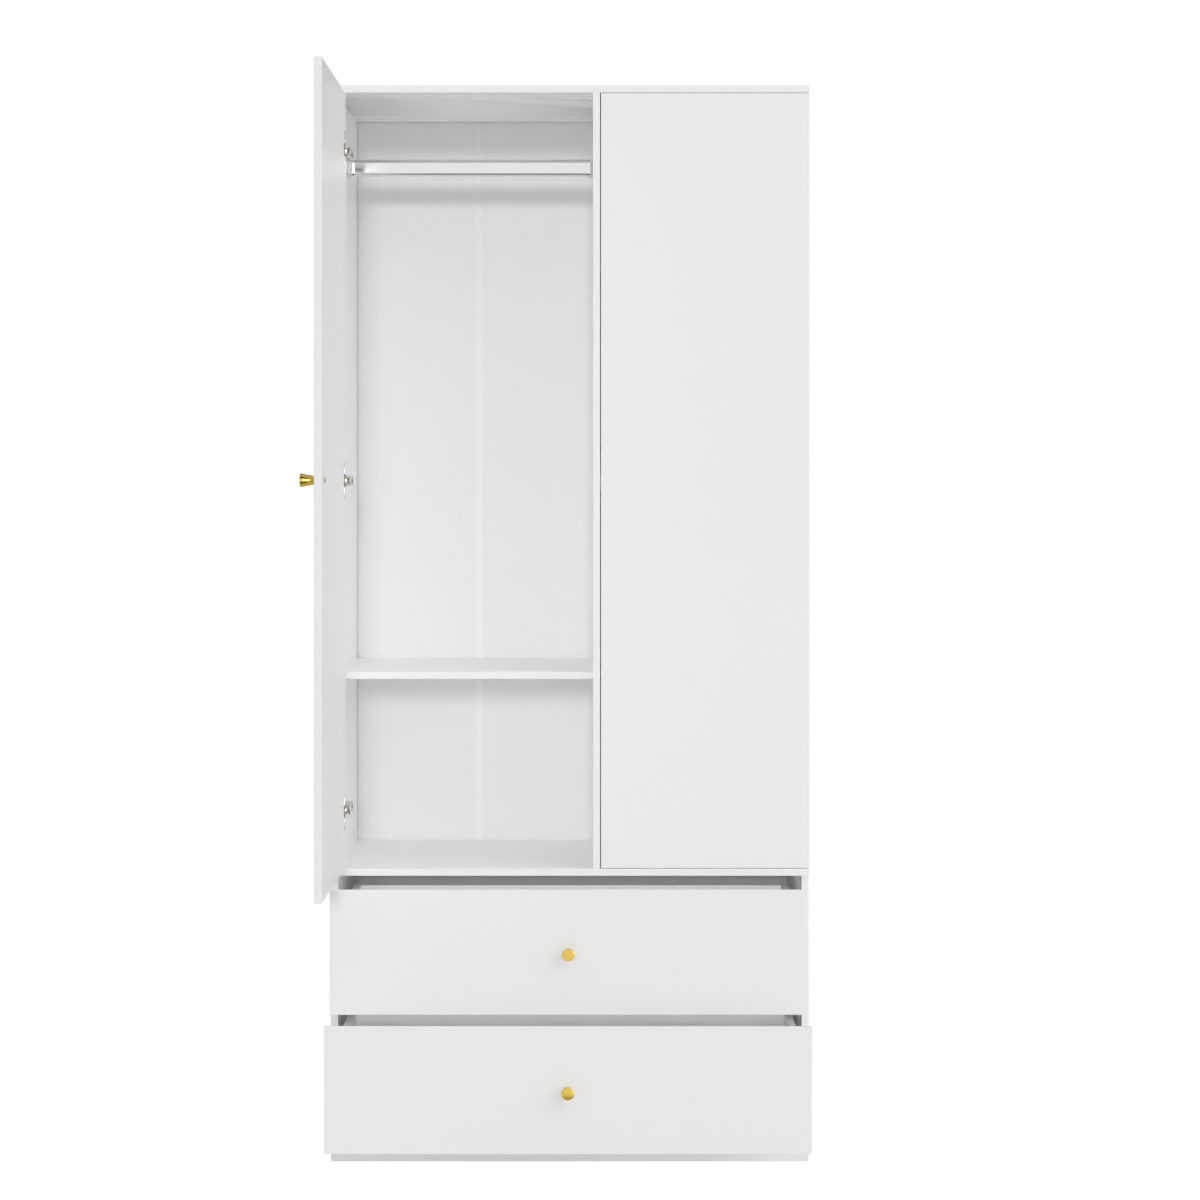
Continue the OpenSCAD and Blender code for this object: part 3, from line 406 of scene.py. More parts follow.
def bare_hardboard():
    """The rear of hardboard: bare brown wood fibre with the slanting print of the press wire."""
    material, tree, place = new_material("bare_hardboard")
    clumps = add(tree, "ShaderNodeTexNoise", {
        "Vector": place, "Scale": 1 / HARD_FIBRE, "Detail": 4.0, "Roughness": 0.7,
    })
    mottle = add(tree, "ShaderNodeTexNoise", {"Vector": place, "Scale": 1 / MOTTLE, "Detail": 3.0})
    both = add(tree, "ShaderNodeMath", {
        0: clumps.outputs["Fac"], 1: mottle.outputs["Fac"],
    }, operation="ADD")
    contrast = add(tree, "ShaderNodeMapRange", {
        "Value": both.outputs["Value"], "From Min": 0.7, "From Max": 1.3,
    })
    tone = add(tree, "ShaderNodeMixRGB", {
        "Fac": contrast.outputs["Result"], "Color1": linear("#977550"), "Color2": linear("#c6a67c"),
    })
    wire = add(tree, "ShaderNodeTexWave", {
        "Vector": place, "Scale": WIRE_WAVE, "Distortion": 0.6,
    }, bands_direction="DIAGONAL")
    height = add(tree, "ShaderNodeMath", {
        0: clumps.outputs["Fac"], 1: wire.outputs["Fac"],
    }, operation="ADD")
    relief = add(tree, "ShaderNodeBump", {
        "Height": height.outputs["Value"], "Strength": 0.35, "Distance": 0.0004,
    })
    finish_material(tree, {
        "Base Color": tone.outputs["Color"], "Roughness": 0.8, "Normal": relief.outputs["Normal"],
        "Specular IOR Level": 0.25,
    })
    return material


def white_plastic():
    """White polypropylene, moulded or extruded: satin, with faint flow marks."""
    material, tree, place = new_material("white_polypropylene")
    flow = add(tree, "ShaderNodeTexNoise", {
        "Vector": place, "Scale": 1 / FLOW_MARK, "Detail": 3.0,
    })
    tone = add(tree, "ShaderNodeMixRGB", {
        "Fac": flow.outputs["Fac"], "Color1": linear("#f8f8f8"), "Color2": linear("#fbfbfb"),
    })
    relief = add(tree, "ShaderNodeBump", {
        "Height": flow.outputs["Fac"], "Strength": 0.06, "Distance": 0.0001,
    })
    finish_material(tree, {
        "Base Color": tone.outputs["Color"], "Roughness": 0.35, "Normal": relief.outputs["Normal"],
        "IOR": 1.49, "Subsurface Weight": 0.05, "Subsurface Scale": 0.001,
    })
    return material


def sheet_panel(node, materials):
    """A thin sheet in its surfaces: lacquered in front, or on both faces of a drawer's bottom."""
    shape = merged_copy(node)
    for face in shape.faces:
        if node.endswith("bottom"):
            lacquered = abs(face.normal.z) > SQUARE
        else:
            lacquered = face.normal.y < -SQUARE
        face.material_index = 0 if lacquered else 1
    finish_piece(shape, node + "_sheet", node, materials)


def softened_copy(node, name, material, rounding):
    """A copy of a CAD node with its edges softened, as stamping or moulding leaves them."""
    shape = merged_copy(node)
    sharp = [
        edge for edge in shape.edges
        if len(edge.link_faces) == 2 and edge.calc_face_angle() > math.radians(SHARP_CORNER)
    ]
    ease_edges(shape, sharp, rounding, SOFT_FACETS)
    finish_piece(shape, name, node, [material], SMOOTH)


sheet_finish = [lacquered_hardboard(), bare_hardboard()]
for node in ("back_panel_left", "back_panel_right"):
    sheet_panel(node, sheet_finish)
plastic = white_plastic()
softened_copy("back_joiner", "back_joining_strip", plastic, FLANGE_ROUND)

# ---------------------------------------------------------------- carcass fixings
# Countersunk zinc-plated screws go through the faces of the boards into the ends of the next,
# beside fluted birch dowels. White plastic caps cover the screw heads, flush with the boards.
HEAD_DEPTH = 0.003
SHANK_RADIUS = 0.002
SHANK_SHARE = 0.93      # of a screw's length, the rest being its head alone
RECESS_WIDTH = 0.0011   # a cross recess for a number 2 driver
RECESS_DEPTH = 0.0009
RECESS_SPAN = 1.15      # its length as a share of the head's radius
HEAD_SIDES = 32
SHANK_SIDES = 20
CAP_ROUND = 0.0002
FLUTES = 14
FLUTE_DEPTH = 0.08      # as a share of the dowel's radius
DOWEL_ROUND = 0.0006
PEG_CORNER = 50         # degrees: only a peg's two ends turn more than this
PEG_SMOOTH = 40
AT_END = 1e-4           # how near a point is to a part's end to belong to it
EVEN = 1e-5             # ends whose radii differ by less than this are equally wide
SPANGLE = 0.00556       # the zinc's cloudy crystals
GRAIN = (0.00833, 0.00111, 0.00111)     # birch pores, drawn out along the dowel


def zinc_plated_steel():
    """Zinc-plated steel: bluish grey satin plating over cold-formed or rolled steel."""
    material, tree, place = new_material("zinc_plated_steel")
    spangle = add(tree, "ShaderNodeTexNoise", {
        "Vector": place, "Scale": 1 / SPANGLE, "Detail": 4.0, "Roughness": 0.6,
    })
    tone = add(tree, "ShaderNodeMixRGB", {
        "Fac": spangle.outputs["Fac"], "Color1": linear("#b4b9be"), "Color2": linear("#d3d6d8"),
    })
    gloss = add(tree, "ShaderNodeMapRange", {
        "Value": spangle.outputs["Fac"], "To Min": 0.28, "To Max": 0.46,
    })
    relief = add(tree, "ShaderNodeBump", {
        "Height": spangle.outputs["Fac"], "Strength": 0.08, "Distance": 0.0001,
    })
    finish_material(tree, {
        "Base Color": tone.outputs["Color"], "Metallic": 1.0, "Roughness": gloss.outputs["Result"],
        "Normal": relief.outputs["Normal"],
    })
    return material


def turned_birch():
    """Birch dowel, turned and fluted: pale wood with fine pores drawn out along the grain."""
    material, tree, place = new_material("turned_birch")
    along = add(tree, "ShaderNodeMapping", {
        "Vector": place, "Scale": [1 / size for size in GRAIN],
    })
    grain = add(tree, "ShaderNodeTexNoise", {"Vector": along.outputs["Vector"], "Scale": 1.0})
    tone = add(tree, "ShaderNodeMixRGB", {
        "Fac": grain.outputs["Fac"], "Color1": linear("#c9a877"), "Color2": linear("#e3cba0"),
    })
    relief = add(tree, "ShaderNodeBump", {
        "Height": grain.outputs["Fac"], "Strength": 0.2, "Distance": 0.0002,
    })
    finish_material(tree, {
        "Base Color": tone.outputs["Color"], "Roughness": 0.7, "Normal": relief.outputs["Normal"],
        "Specular IOR Level": 0.3,
    })
    return material


def loose_parts(node):
    """The separate solids of a CAD node: where each one's wide end is, its direction and sizes."""
    shape = bmesh.new()
    shape.from_mesh(frame["nodes"][node].data)
    bmesh.ops.remove_doubles(shape, verts=shape.verts, dist=MERGE)
    seen = set()
    found = []
    for start in shape.verts:
        if start in seen:
            continue
        seen.add(start)
        reach = [start]
        for vertex in reach:
            for edge in vertex.link_edges:
                other = edge.other_vert(vertex)
                if other not in seen:
                    seen.add(other)
                    reach.append(other)
        points = [vertex.co.copy() for vertex in reach]
        low = Vector([min(p[a] for p in points) for a in range(3)])
        high = Vector([max(p[a] for p in points) for a in range(3)])
        found.append(along_axis(points, low, high))
    shape.free()
    return found


def along_axis(points, low, high):
    """Reads a round part's axis: from its wider end, towards its other end."""
    sizes = list(high - low)
    # The axis is the one whose size differs most from the other two, which are alike
    odd = [
        abs(sizes[a] - sizes[(a + 1) % 3]) + abs(sizes[a] - sizes[(a + 2) % 3])
        - abs(sizes[(a + 1) % 3] - sizes[(a + 2) % 3]) for a in range(3)
    ]
    axis = odd.index(max(odd))
    unit = Vector([1.0 if a == axis else 0.0 for a in range(3)])
    middle = (low + high) / 2

    def width(level):
        """How far from its axis the part reaches at one of its ends."""
        near = [p for p in points if abs(p[axis] - level) < AT_END]
        return max((p - middle - (p - middle)[axis] * unit).length for p in near)

    forward = width(low[axis]) >= width(high[axis]) - EVEN
    head = middle.copy()
    head[axis] = low[axis] if forward else high[axis]
    return {
        "head": head, "facing": unit if forward else -unit, "length": sizes[axis],
        "radius": max(width(low[axis]), width(high[axis])), "middle": middle,
    }


def named_tree(name, sizes, counts=()):
    """A Geometry Nodes tree with named inputs for its places, its sizes and its material."""
    tree = bpy.data.node_groups.new(name, "GeometryNodeTree")
    tree.interface.new_socket("Places", in_out="INPUT", socket_type="NodeSocketGeometry")
    for size in sizes:
        tree.interface.new_socket(size, in_out="INPUT", socket_type="NodeSocketFloat")
    for count in counts:
        tree.interface.new_socket(count, in_out="INPUT", socket_type="NodeSocketInt")
    tree.interface.new_socket("Finish", in_out="INPUT", socket_type="NodeSocketMaterial")
    tree.interface.new_socket("Pieces", in_out="OUTPUT", socket_type="NodeSocketGeometry")
    return tree, add(tree, "NodeGroupInput")


def maths(tree, operation, first, second):
    """One sum on two numbers in a tree."""
    return add(tree, "ShaderNodeMath", {0: first, 1: second}, operation=operation).outputs[0]


def close_tree(tree, given, pieces):
    """Ends a tree: real geometry, its material, and the output."""
    real = add(tree, "GeometryNodeRealizeInstances", {"Geometry": pieces})
    coated = add(tree, "GeometryNodeSetMaterial", {
        "Geometry": real.outputs["Geometry"], "Material": given.outputs["Finish"],
    })
    add(tree, "NodeGroupOutput", {"Pieces": coated.outputs["Geometry"]})


def place_each(tree, given, shape, stretched=False):
    """Puts a shape at each place, its own +Z along the place's direction."""
    facing = add(tree, "GeometryNodeInputNamedAttribute", {
        "Name": "facing",
    }, data_type="FLOAT_VECTOR")
    turn = add(tree, "FunctionNodeAlignRotationToVector", {
        "Vector": facing.outputs["Attribute"],
    }, axis="Z")
    putting = {
        "Points": given.outputs["Places"], "Instance": shape, "Rotation": turn.outputs["Rotation"],
    }
    if stretched:
        span = add(tree, "GeometryNodeInputNamedAttribute", {"Name": "length"}, data_type="FLOAT")
        scale = add(tree, "ShaderNodeCombineXYZ", {
            "X": 1.0, "Y": 1.0, "Z": span.outputs["Attribute"],
        })
        putting["Scale"] = scale.outputs["Vector"]
    return add(tree, "GeometryNodeInstanceOnPoints", putting).outputs["Instances"]


def lifted(tree, shape, height):
    """Moves a shape along its own +Z in a tree."""
    lift = add(tree, "ShaderNodeCombineXYZ", {"Z": height})
    moved = add(tree, "GeometryNodeTransform", {
        "Geometry": shape, "Translation": lift.outputs["Vector"],
    })
    return moved.outputs["Geometry"]


def recessed_tree(name, shanked=True):
    """A tapered head with a cross recess and, but for a cam, a shank as long as its place says."""
    sizes = ["Head Radius", "Head Depth", "Under Head Radius", "Recess", "Recess Depth"]
    tree, given = named_tree(name, sizes + ["Shank Radius"] * shanked)
    head = add(tree, "GeometryNodeMeshCone", {
        "Vertices": HEAD_SIDES, "Radius Top": given.outputs["Under Head Radius"],
        "Radius Bottom": given.outputs["Head Radius"], "Depth": given.outputs["Head Depth"],
    })
    # The cutting bars lie half in the head and half outside it
    long = maths(tree, "MULTIPLY", given.outputs["Head Radius"], RECESS_SPAN)
    deep = maths(tree, "MULTIPLY", given.outputs["Recess Depth"], 2.0)
    cut = add(tree, "GeometryNodeMeshBoolean", operation="DIFFERENCE", solver="EXACT")
    tree.links.new(head.outputs["Mesh"], cut.inputs["Mesh 1"])
    for x, y in ((long, given.outputs["Recess"]), (given.outputs["Recess"], long)):
        size = add(tree, "ShaderNodeCombineXYZ", {"X": x, "Y": y, "Z": deep})
        bar = add(tree, "GeometryNodeMeshCube", {"Size": size.outputs["Vector"]})
        tree.links.new(bar.outputs["Mesh"], cut.inputs["Mesh 2"])
    both = add(tree, "GeometryNodeJoinGeometry")
    tree.links.new(place_each(tree, given, cut.outputs["Mesh"]), both.inputs["Geometry"])
    if shanked:
        shank = add(tree, "GeometryNodeMeshCylinder", {
            "Vertices": SHANK_SIDES, "Radius": given.outputs["Shank Radius"], "Depth": SHANK_SHARE,
        })
        low = lifted(tree, shank.outputs["Mesh"], 1 - SHANK_SHARE / 2)
        tree.links.new(place_each(tree, given, low, stretched=True), both.inputs["Geometry"])
    close_tree(tree, given, both.outputs["Geometry"])
    return tree


def peg_tree():
    """A round peg, as long as its place says, with flutes of the depth asked for."""
    tree, given = named_tree("round_peg", ["Radius", "Flute Share"])
    rod = add(tree, "GeometryNodeMeshCylinder", {
        "Vertices": 2 * FLUTES, "Radius": given.outputs["Radius"], "Depth": 1.0,
    })
    number = add(tree, "GeometryNodeInputIndex")
    odd = maths(tree, "MODULO", number.outputs["Index"], 2.0)
    inset = maths(tree, "MULTIPLY", odd, given.outputs["Flute Share"])
    share = maths(tree, "SUBTRACT", 1.0, inset)
    place = add(tree, "GeometryNodeInputPosition")
    scale = add(tree, "ShaderNodeCombineXYZ", {"X": share, "Y": share, "Z": 1.0})
    drawn = add(tree, "ShaderNodeVectorMath", {
        0: place.outputs["Position"], 1: scale.outputs["Vector"],
    }, operation="MULTIPLY")
    fluted = add(tree, "GeometryNodeSetPosition", {
        "Geometry": rod.outputs["Mesh"], "Position": drawn.outputs["Vector"],
    })
    stood = lifted(tree, fluted.outputs["Geometry"], 0.5)
    close_tree(tree, given, place_each(tree, given, stood, stretched=True))
    return tree


def grown(tree, places, sizes, finish, rounding=0.0):
    """Runs a tree over a list of places and returns the plain mesh that it makes."""
    seeds = bpy.data.meshes.new("places")
    seeds.from_pydata([place["head"] for place in places], [], [])
    facing = seeds.attributes.new("facing", "FLOAT_VECTOR", "POINT")
    facing.data.foreach_set("vector", [c for place in places for c in place["facing"]])
    length = seeds.attributes.new("length", "FLOAT", "POINT")
    length.data.foreach_set("value", [place["length"] for place in places])
    holder = bpy.data.objects.new("places", seeds)
    bpy.context.scene.collection.objects.link(holder)
    modifier = holder.modifiers.new("grow", "NODES")
    modifier.node_group = tree
    wanted = dict(sizes, Finish=finish)
    for item in tree.interface.items_tree:
        if item.item_type == "SOCKET" and item.in_out == "INPUT" and item.name in wanted:
            modifier[item.identifier] = wanted[item.name]
    if rounding:
        bevel = holder.modifiers.new("round", "BEVEL")
        bevel.width = rounding
        bevel.segments = SOFT_FACETS
        bevel.limit_method = "ANGLE"
        bevel.angle_limit = math.radians(PEG_CORNER)
    ready = holder.evaluated_get(bpy.context.evaluated_depsgraph_get())
    mesh = bpy.data.meshes.new_from_object(ready)
    mesh.materials.clear()
    mesh.polygons.foreach_set("material_index", [0] * len(mesh.polygons))
    bpy.data.objects.remove(holder)
    bpy.data.meshes.remove(seeds)
    for spare in list(mesh.attributes):
        if spare.name in ("facing", "length"):
            mesh.attributes.remove(spare)
    return mesh


screws = recessed_tree("cross_recess_screw")
pegs = peg_tree()
zinc = zinc_plated_steel()
birch = turned_birch()
assembly = loose_parts("assembly_screws")
finish_piece(
    grown(screws, assembly, {
        "Head Radius": assembly[0]["radius"], "Head Depth": HEAD_DEPTH,
        "Under Head Radius": SHANK_RADIUS, "Shank Radius": SHANK_RADIUS,
        "Recess": RECESS_WIDTH, "Recess Depth": RECESS_DEPTH,
    }, zinc),
    "carcass_screws", "assembly_screws", [zinc], SMOOTH,
)
caps = loose_parts("screw_caps")
finish_piece(
    grown(pegs, caps, {"Radius": caps[0]["radius"], "Flute Share": 0.0}, plastic, CAP_ROUND),
    "carcass_screw_caps", "screw_caps", [plastic], PEG_SMOOTH,
)
plugs = loose_parts("dowels")
finish_piece(
    grown(pegs, plugs, {
        "Radius": plugs[0]["radius"], "Flute Share": FLUTE_DEPTH,
    }, birch, DOWEL_ROUND),
    "carcass_dowels", "dowels", [birch],
)

# ---------------------------------------------------------------- loose shelves
# Three melamine-faced shelves behind the right door, each resting on four nickel-plated steel
# pins pushed into holes in the divider and the right side panel.
ROLLING = (0.00111, 0.00111, 0.0111)    # rolling marks, drawn coarse enough to show
REST_ROUND = 0.0004


def nickel_plated_steel():
    """Nickel-plated stamped steel: bright, slightly warm plating with fine rolling marks."""
    material, tree, place = new_material("nickel_plated_steel")
    drawn = add(tree, "ShaderNodeMapping", {
        "Vector": place, "Scale": [1 / size for size in ROLLING],
    })
    marks = add(tree, "ShaderNodeTexNoise", {
        "Vector": drawn.outputs["Vector"], "Scale": 1.0, "Detail": 3.0,
    })
    tone = add(tree, "ShaderNodeMixRGB", {
        "Fac": marks.outputs["Fac"], "Color1": linear("#bdb9b2"), "Color2": linear("#d6d3cd"),
    })
    gloss = add(tree, "ShaderNodeMapRange", {
        "Value": marks.outputs["Fac"], "To Min": 0.18, "To Max": 0.32,
    })
    relief = add(tree, "ShaderNodeBump", {
        "Height": marks.outputs["Fac"], "Strength": 0.06, "Distance": 0.0001,
    })
    finish_material(tree, {
        "Base Color": tone.outputs["Color"], "Metallic": 1.0, "Roughness": gloss.outputs["Result"],
        "Normal": relief.outputs["Normal"],
    })
    return material


def rounded_planks(node, materials):
    """Several equal boards in one node, each with its banded edges rounded."""
    shape = merged_copy(node)
    ease_edges(shape, list(shape.edges), BAND_ROUND, BAND_FACETS)
    for face in shape.faces:
        face.material_index = 0 if abs(face.normal.z) > SQUARE else 1
    finish_piece(shape, node + "_boards", node, materials)


nickel = nickel_plated_steel()
rounded_planks("right_shelves", board_finish)
pins = loose_parts("shelf_pins")
finish_piece(
    grown(pegs, pins, {"Radius": pins[0]["radius"], "Flute Share": 0.0}, nickel, REST_ROUND),
    "shelf_rest_pins", "shelf_pins", [nickel], PEG_SMOOTH,
)

# ---------------------------------------------------------------- clothes rail
# An oval chrome-plated steel tube, cut to length and dropped into two die-cast cups that are
# screwed to the left side panel and the centre divider.
RAIL_WALL = 0.0012
RAIL_TURN = 0.4999      # of the width, a shade under half so that the two bends don't overlap
RAIL_FACETS = 12
CUP_ROUND = 0.0005
DRAWING = (0.05, 0.00143, 0.00143)      # drawing marks along the tube


def chrome_plate():
    """Chrome plate on drawn steel tube: a near-mirror with only the faintest drawing marks."""
    material, tree, place = new_material("chrome_plated_tube")
    drawn = add(tree, "ShaderNodeMapping", {
        "Vector": place, "Scale": [1 / size for size in DRAWING],
    })
    marks = add(tree, "ShaderNodeTexNoise", {"Vector": drawn.outputs["Vector"], "Scale": 1.0})
    tone = add(tree, "ShaderNodeMixRGB", {
        "Fac": marks.outputs["Fac"], "Color1": linear("#e2e3e4"), "Color2": linear("#eeeeee"),
    })
    gloss = add(tree, "ShaderNodeMapRange", {
        "Value": marks.outputs["Fac"], "To Min": 0.08, "To Max": 0.16,
    })
    relief = add(tree, "ShaderNodeBump", {
        "Height": marks.outputs["Fac"], "Strength": 0.03, "Distance": 0.0001,
    })
    finish_material(tree, {
        "Base Color": tone.outputs["Color"], "Metallic": 1.0, "Roughness": gloss.outputs["Result"],
        "Normal": relief.outputs["Normal"],
    })
    return material


def oval_tube_tree():
    """An oval swept along a line from each place, as long as its place says."""
    tree, given = named_tree("oval_tube", ["Width", "Height", "Length"])
    oval = add(tree, "GeometryNodeCurvePrimitiveQuadrilateral", {
        "Width": given.outputs["Height"], "Height": given.outputs["Width"],
    })
    turn = maths(tree, "MULTIPLY", given.outputs["Width"], RAIL_TURN)
    rounded = add(tree, "GeometryNodeFilletCurve", {
        "Curve": oval.outputs["Curve"], "Radius": turn, "Count": RAIL_FACETS,
    }, mode="POLY")
    reach = add(tree, "ShaderNodeCombineXYZ", {"Z": given.outputs["Length"]})
    line = add(tree, "GeometryNodeCurvePrimitiveLine", {"End": reach.outputs["Vector"]})
    sides = add(tree, "GeometryNodeCurveToMesh", {
        "Curve": line.outputs["Curve"], "Profile Curve": rounded.outputs["Curve"],
    })
    close_tree(tree, given, place_each(tree, given, sides.outputs["Mesh"]))
    return tree


chrome = chrome_plate()
rail_low, rail_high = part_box("clothes_rail")
rail_middle = (rail_low + rail_high) / 2
rail_size = rail_high - rail_low
rail_start = {
    "head": Vector((rail_low.x, rail_middle.y, rail_middle.z)), "facing": Vector((1, 0, 0)),
    "length": rail_size.x,
}
rail_mesh = grown(oval_tube_tree(), [rail_start], {
    "Width": rail_size.y, "Height": rail_size.z, "Length": rail_size.x,
}, chrome)
rail_shape = bmesh.new()
rail_shape.from_mesh(rail_mesh)
bmesh.ops.recalc_face_normals(rail_shape, faces=rail_shape.faces)
rail_shape.to_mesh(rail_mesh)
rail_shape.free()
holder = bpy.data.objects.new("rail_skin", rail_mesh)
bpy.context.scene.collection.objects.link(holder)
wall = holder.modifiers.new("wall", "SOLIDIFY")
wall.thickness = RAIL_WALL
wall.offset = -1
walled = holder.evaluated_get(bpy.context.evaluated_depsgraph_get())
tube_mesh = bpy.data.meshes.new_from_object(walled)
bpy.data.objects.remove(holder)
finish_piece(tube_mesh, "clothes_rail_tube", "clothes_rail", [chrome], SMOOTH)
softened_copy("rail_brackets", "clothes_rail_cups", chrome, CUP_ROUND)

# ---------------------------------------------------------------- doors
# Two melamine-faced doors with banded edges, bored on the inner face for three hinge cups each.
# The left one has a knob; the right one is opened by a push catch.
for node in ("left_door", "right_door"):
    faced_board(node, board_finish)

# ---------------------------------------------------------------- hinges
# Concealed hinges of stamped nickel-plated steel: a cup pressed into the door, two links that
# turn on steel pins, and an arm screwed to a plate on the side panel.
STAMPED = 0.00025
PIN_ROUND = 0.0002
HINGE_PARTS = (
    "hinge_plates", "left_hinge_arms", "right_hinge_arms", "left_hinge_cups", "right_hinge_cups",
    "left_outer_links", "right_outer_links", "left_inner_links", "right_inner_links",
)
for node in HINGE_PARTS:
    softened_copy(node, node + "_stamped", nickel, STAMPED)


def by_radius(node):
    """The loose parts of a node in groups of one radius, thinnest first."""
    groups = {}
    for part in loose_parts(node):
        groups.setdefault(round(part["radius"], 5), []).append(part)
    return sorted(groups.items())


def gathered(meshes):
    """Several plain meshes as one shape."""
    shape = bmesh.new()
    for mesh in meshes:
        shape.from_mesh(mesh)
        bpy.data.meshes.remove(mesh)
    return shape


for node in ("hinge_arm_pins", "left_cup_pins", "right_cup_pins"):
    shafts = gathered([
        grown(pegs, group, {"Radius": radius, "Flute Share": 0.0}, nickel, PIN_ROUND)
        for radius, group in by_radius(node)
    ])
    finish_piece(shafts, node + "_turned", node, [nickel], PEG_SMOOTH)

# ---------------------------------------------------------------- drawers
# Each drawer is a melamine-faced box of two sides and a back, with a bottom of hardboard lacquered
# white on both faces in grooves. Cams draw its sides on to the front, and screws hold the back.
for drawer in ("upper_drawer", "lower_drawer"):
    for part in ("front", "side_left", "side_right", "back"):
        faced_board(f"{drawer}_{part}", board_finish)
    sheet_panel(f"{drawer}_bottom", sheet_finish)

# ---------------------------------------------------------------- drawer slides
# Ball-bearing slides of roll-formed zinc-plated steel: one channel screwed to the side panel, one
# to the drawer, and a middle one between them on hardened steel balls held in a strip cage.
FORMED = 0.0002
CAGE_WIDTH = 0.0024
CAGE_THICK = 0.0006
ROW_END = 0.006         # from a cage's end to its first ball
ROW_BALLS = 5
BALL_RADIUS = 0.00185
BALL_FINENESS = 3       # times that an icosahedron is subdivided
GREASE = 0.00417        # smears of grease on the balls


def hardened_balls():
    """Hardened chrome-steel balls and their cage: polished grey steel under a film of grease."""
    material, tree, place = new_material("hardened_ball_steel")
    grease = add(tree, "ShaderNodeTexNoise", {"Vector": place, "Scale": 1 / GREASE, "Detail": 2.0})
    tone = add(tree, "ShaderNodeMixRGB", {
        "Fac": grease.outputs["Fac"], "Color1": linear("#a9a9a6"), "Color2": linear("#c8c8c6"),
    })
    gloss = add(tree, "ShaderNodeMapRange", {
        "Value": grease.outputs["Fac"], "To Min": 0.1, "To Max": 0.26,
    })
    finish_material(tree, {
        "Base Color": tone.outputs["Color"], "Metallic": 1.0, "Roughness": gloss.outputs["Result"],
    })
    return material


def ball_row_tree():
    """A row of balls at one pitch in a strip cage, starting at each place."""
    tree, given = named_tree(
        "ball_row",
        ["Ball Radius", "Row End", "Pitch", "Cage Width", "Cage Thickness", "Cage Length"],
        ["Balls"],
    )
    ball = add(tree, "GeometryNodeMeshIcoSphere", {
        "Radius": given.outputs["Ball Radius"], "Subdivisions": BALL_FINENESS,
    })
    first = add(tree, "ShaderNodeCombineXYZ", {"Z": given.outputs["Row End"]})
    step = add(tree, "ShaderNodeCombineXYZ", {"Z": given.outputs["Pitch"]})
    line = add(tree, "GeometryNodeMeshLine", {
        "Count": given.outputs["Balls"], "Start Location": first.outputs["Vector"],
        "Offset": step.outputs["Vector"],
    })
    balls = add(tree, "GeometryNodeInstanceOnPoints", {
        "Points": line.outputs["Mesh"], "Instance": ball.outputs["Mesh"],
    })
    size = add(tree, "ShaderNodeCombineXYZ", {
        "X": given.outputs["Cage Width"], "Y": given.outputs["Cage Thickness"],
        "Z": given.outputs["Cage Length"],
    })
    cage = add(tree, "GeometryNodeMeshCube", {"Size": size.outputs["Vector"]})
    middle = maths(tree, "MULTIPLY", given.outputs["Cage Length"], 0.5)
    row = add(tree, "GeometryNodeJoinGeometry")
    for part in (balls.outputs["Instances"], lifted(tree, cage.outputs["Mesh"], middle)):
        tree.links.new(part, row.inputs["Geometry"])
    close_tree(tree, given, place_each(tree, given, row.outputs["Geometry"]))
    return tree


balls_finish = hardened_balls()
ball_rows = ball_row_tree()
softened_copy("slide_cabinet_members", "slide_outer_channels", zinc, FORMED)
for drawer in ("upper", "lower"):
    for member in ("drawer_members", "middle_members"):
        node = f"{drawer}_slide_{member}"
        softened_copy(node, node + "_formed", zinc, FORMED)
    rows = loose_parts(f"{drawer}_slide_balls")
    row_length = rows[0]["length"]
    finish_piece(
        grown(ball_rows, rows, {
            "Ball Radius": BALL_RADIUS, "Row End": ROW_END, "Balls": ROW_BALLS,
            "Pitch": (row_length - 2 * ROW_END) / (ROW_BALLS - 1), "Cage Width": CAGE_WIDTH,
            "Cage Thickness": CAGE_THICK, "Cage Length": row_length,
        }, balls_finish),
        f"{drawer}_slide_ball_rows", f"{drawer}_slide_balls", [balls_finish],
        SMOOTH,
    )

# ---------------------------------------------------------------- small screws
# Small countersunk zinc-plated screws with a cross recess hold the hinges, slides, rail cups and
# push catch. Cams and bolts join the drawers, and a pan-head screw goes through into each knob.
CAM_RADIUS = 0.006
CAM_RECESS = 2          # times a screw's, across and in depth
BOLT_RADIUS = 0.0025
# For each head radius: the head's depth, the radius under it and the shank's radius
SCREW_SIZES = {
    0.0032: (0.0012, 0.0026, 0.00175), 0.004: (0.0024, 0.0036, 0.002),
}


def driven(node, name, finish):
    """Every screw, cam and bolt of a node as one piece, from the sizes and places in the CAD."""
    made = []
    for radius, group in by_radius(node):
        if radius == BOLT_RADIUS:
            made.append(grown(pegs, group, {
                "Radius": radius, "Flute Share": 0.0,
            }, finish, PIN_ROUND))
        elif radius == CAM_RADIUS:
            # A cam's recessed face looks into the drawer
            for cam in group:
                if cam["facing"].x * cam["middle"].x < 0:
                    cam["head"] = cam["head"] + cam["facing"] * cam["length"]
                    cam["facing"] = -cam["facing"]
            made.append(grown(cams, group, {
                "Head Radius": radius, "Head Depth": group[0]["length"],
                "Under Head Radius": radius, "Recess": CAM_RECESS * RECESS_WIDTH,
                "Recess Depth": CAM_RECESS * RECESS_DEPTH,
            }, finish))
        else:
            depth, under, shank = SCREW_SIZES[radius]
            made.append(grown(screws, group, {
                "Head Radius": radius, "Head Depth": depth, "Under Head Radius": under,
                "Shank Radius": shank, "Recess": RECESS_WIDTH, "Recess Depth": RECESS_DEPTH,
            }, finish))
    finish_piece(gathered(made), name, node, [finish], SMOOTH)


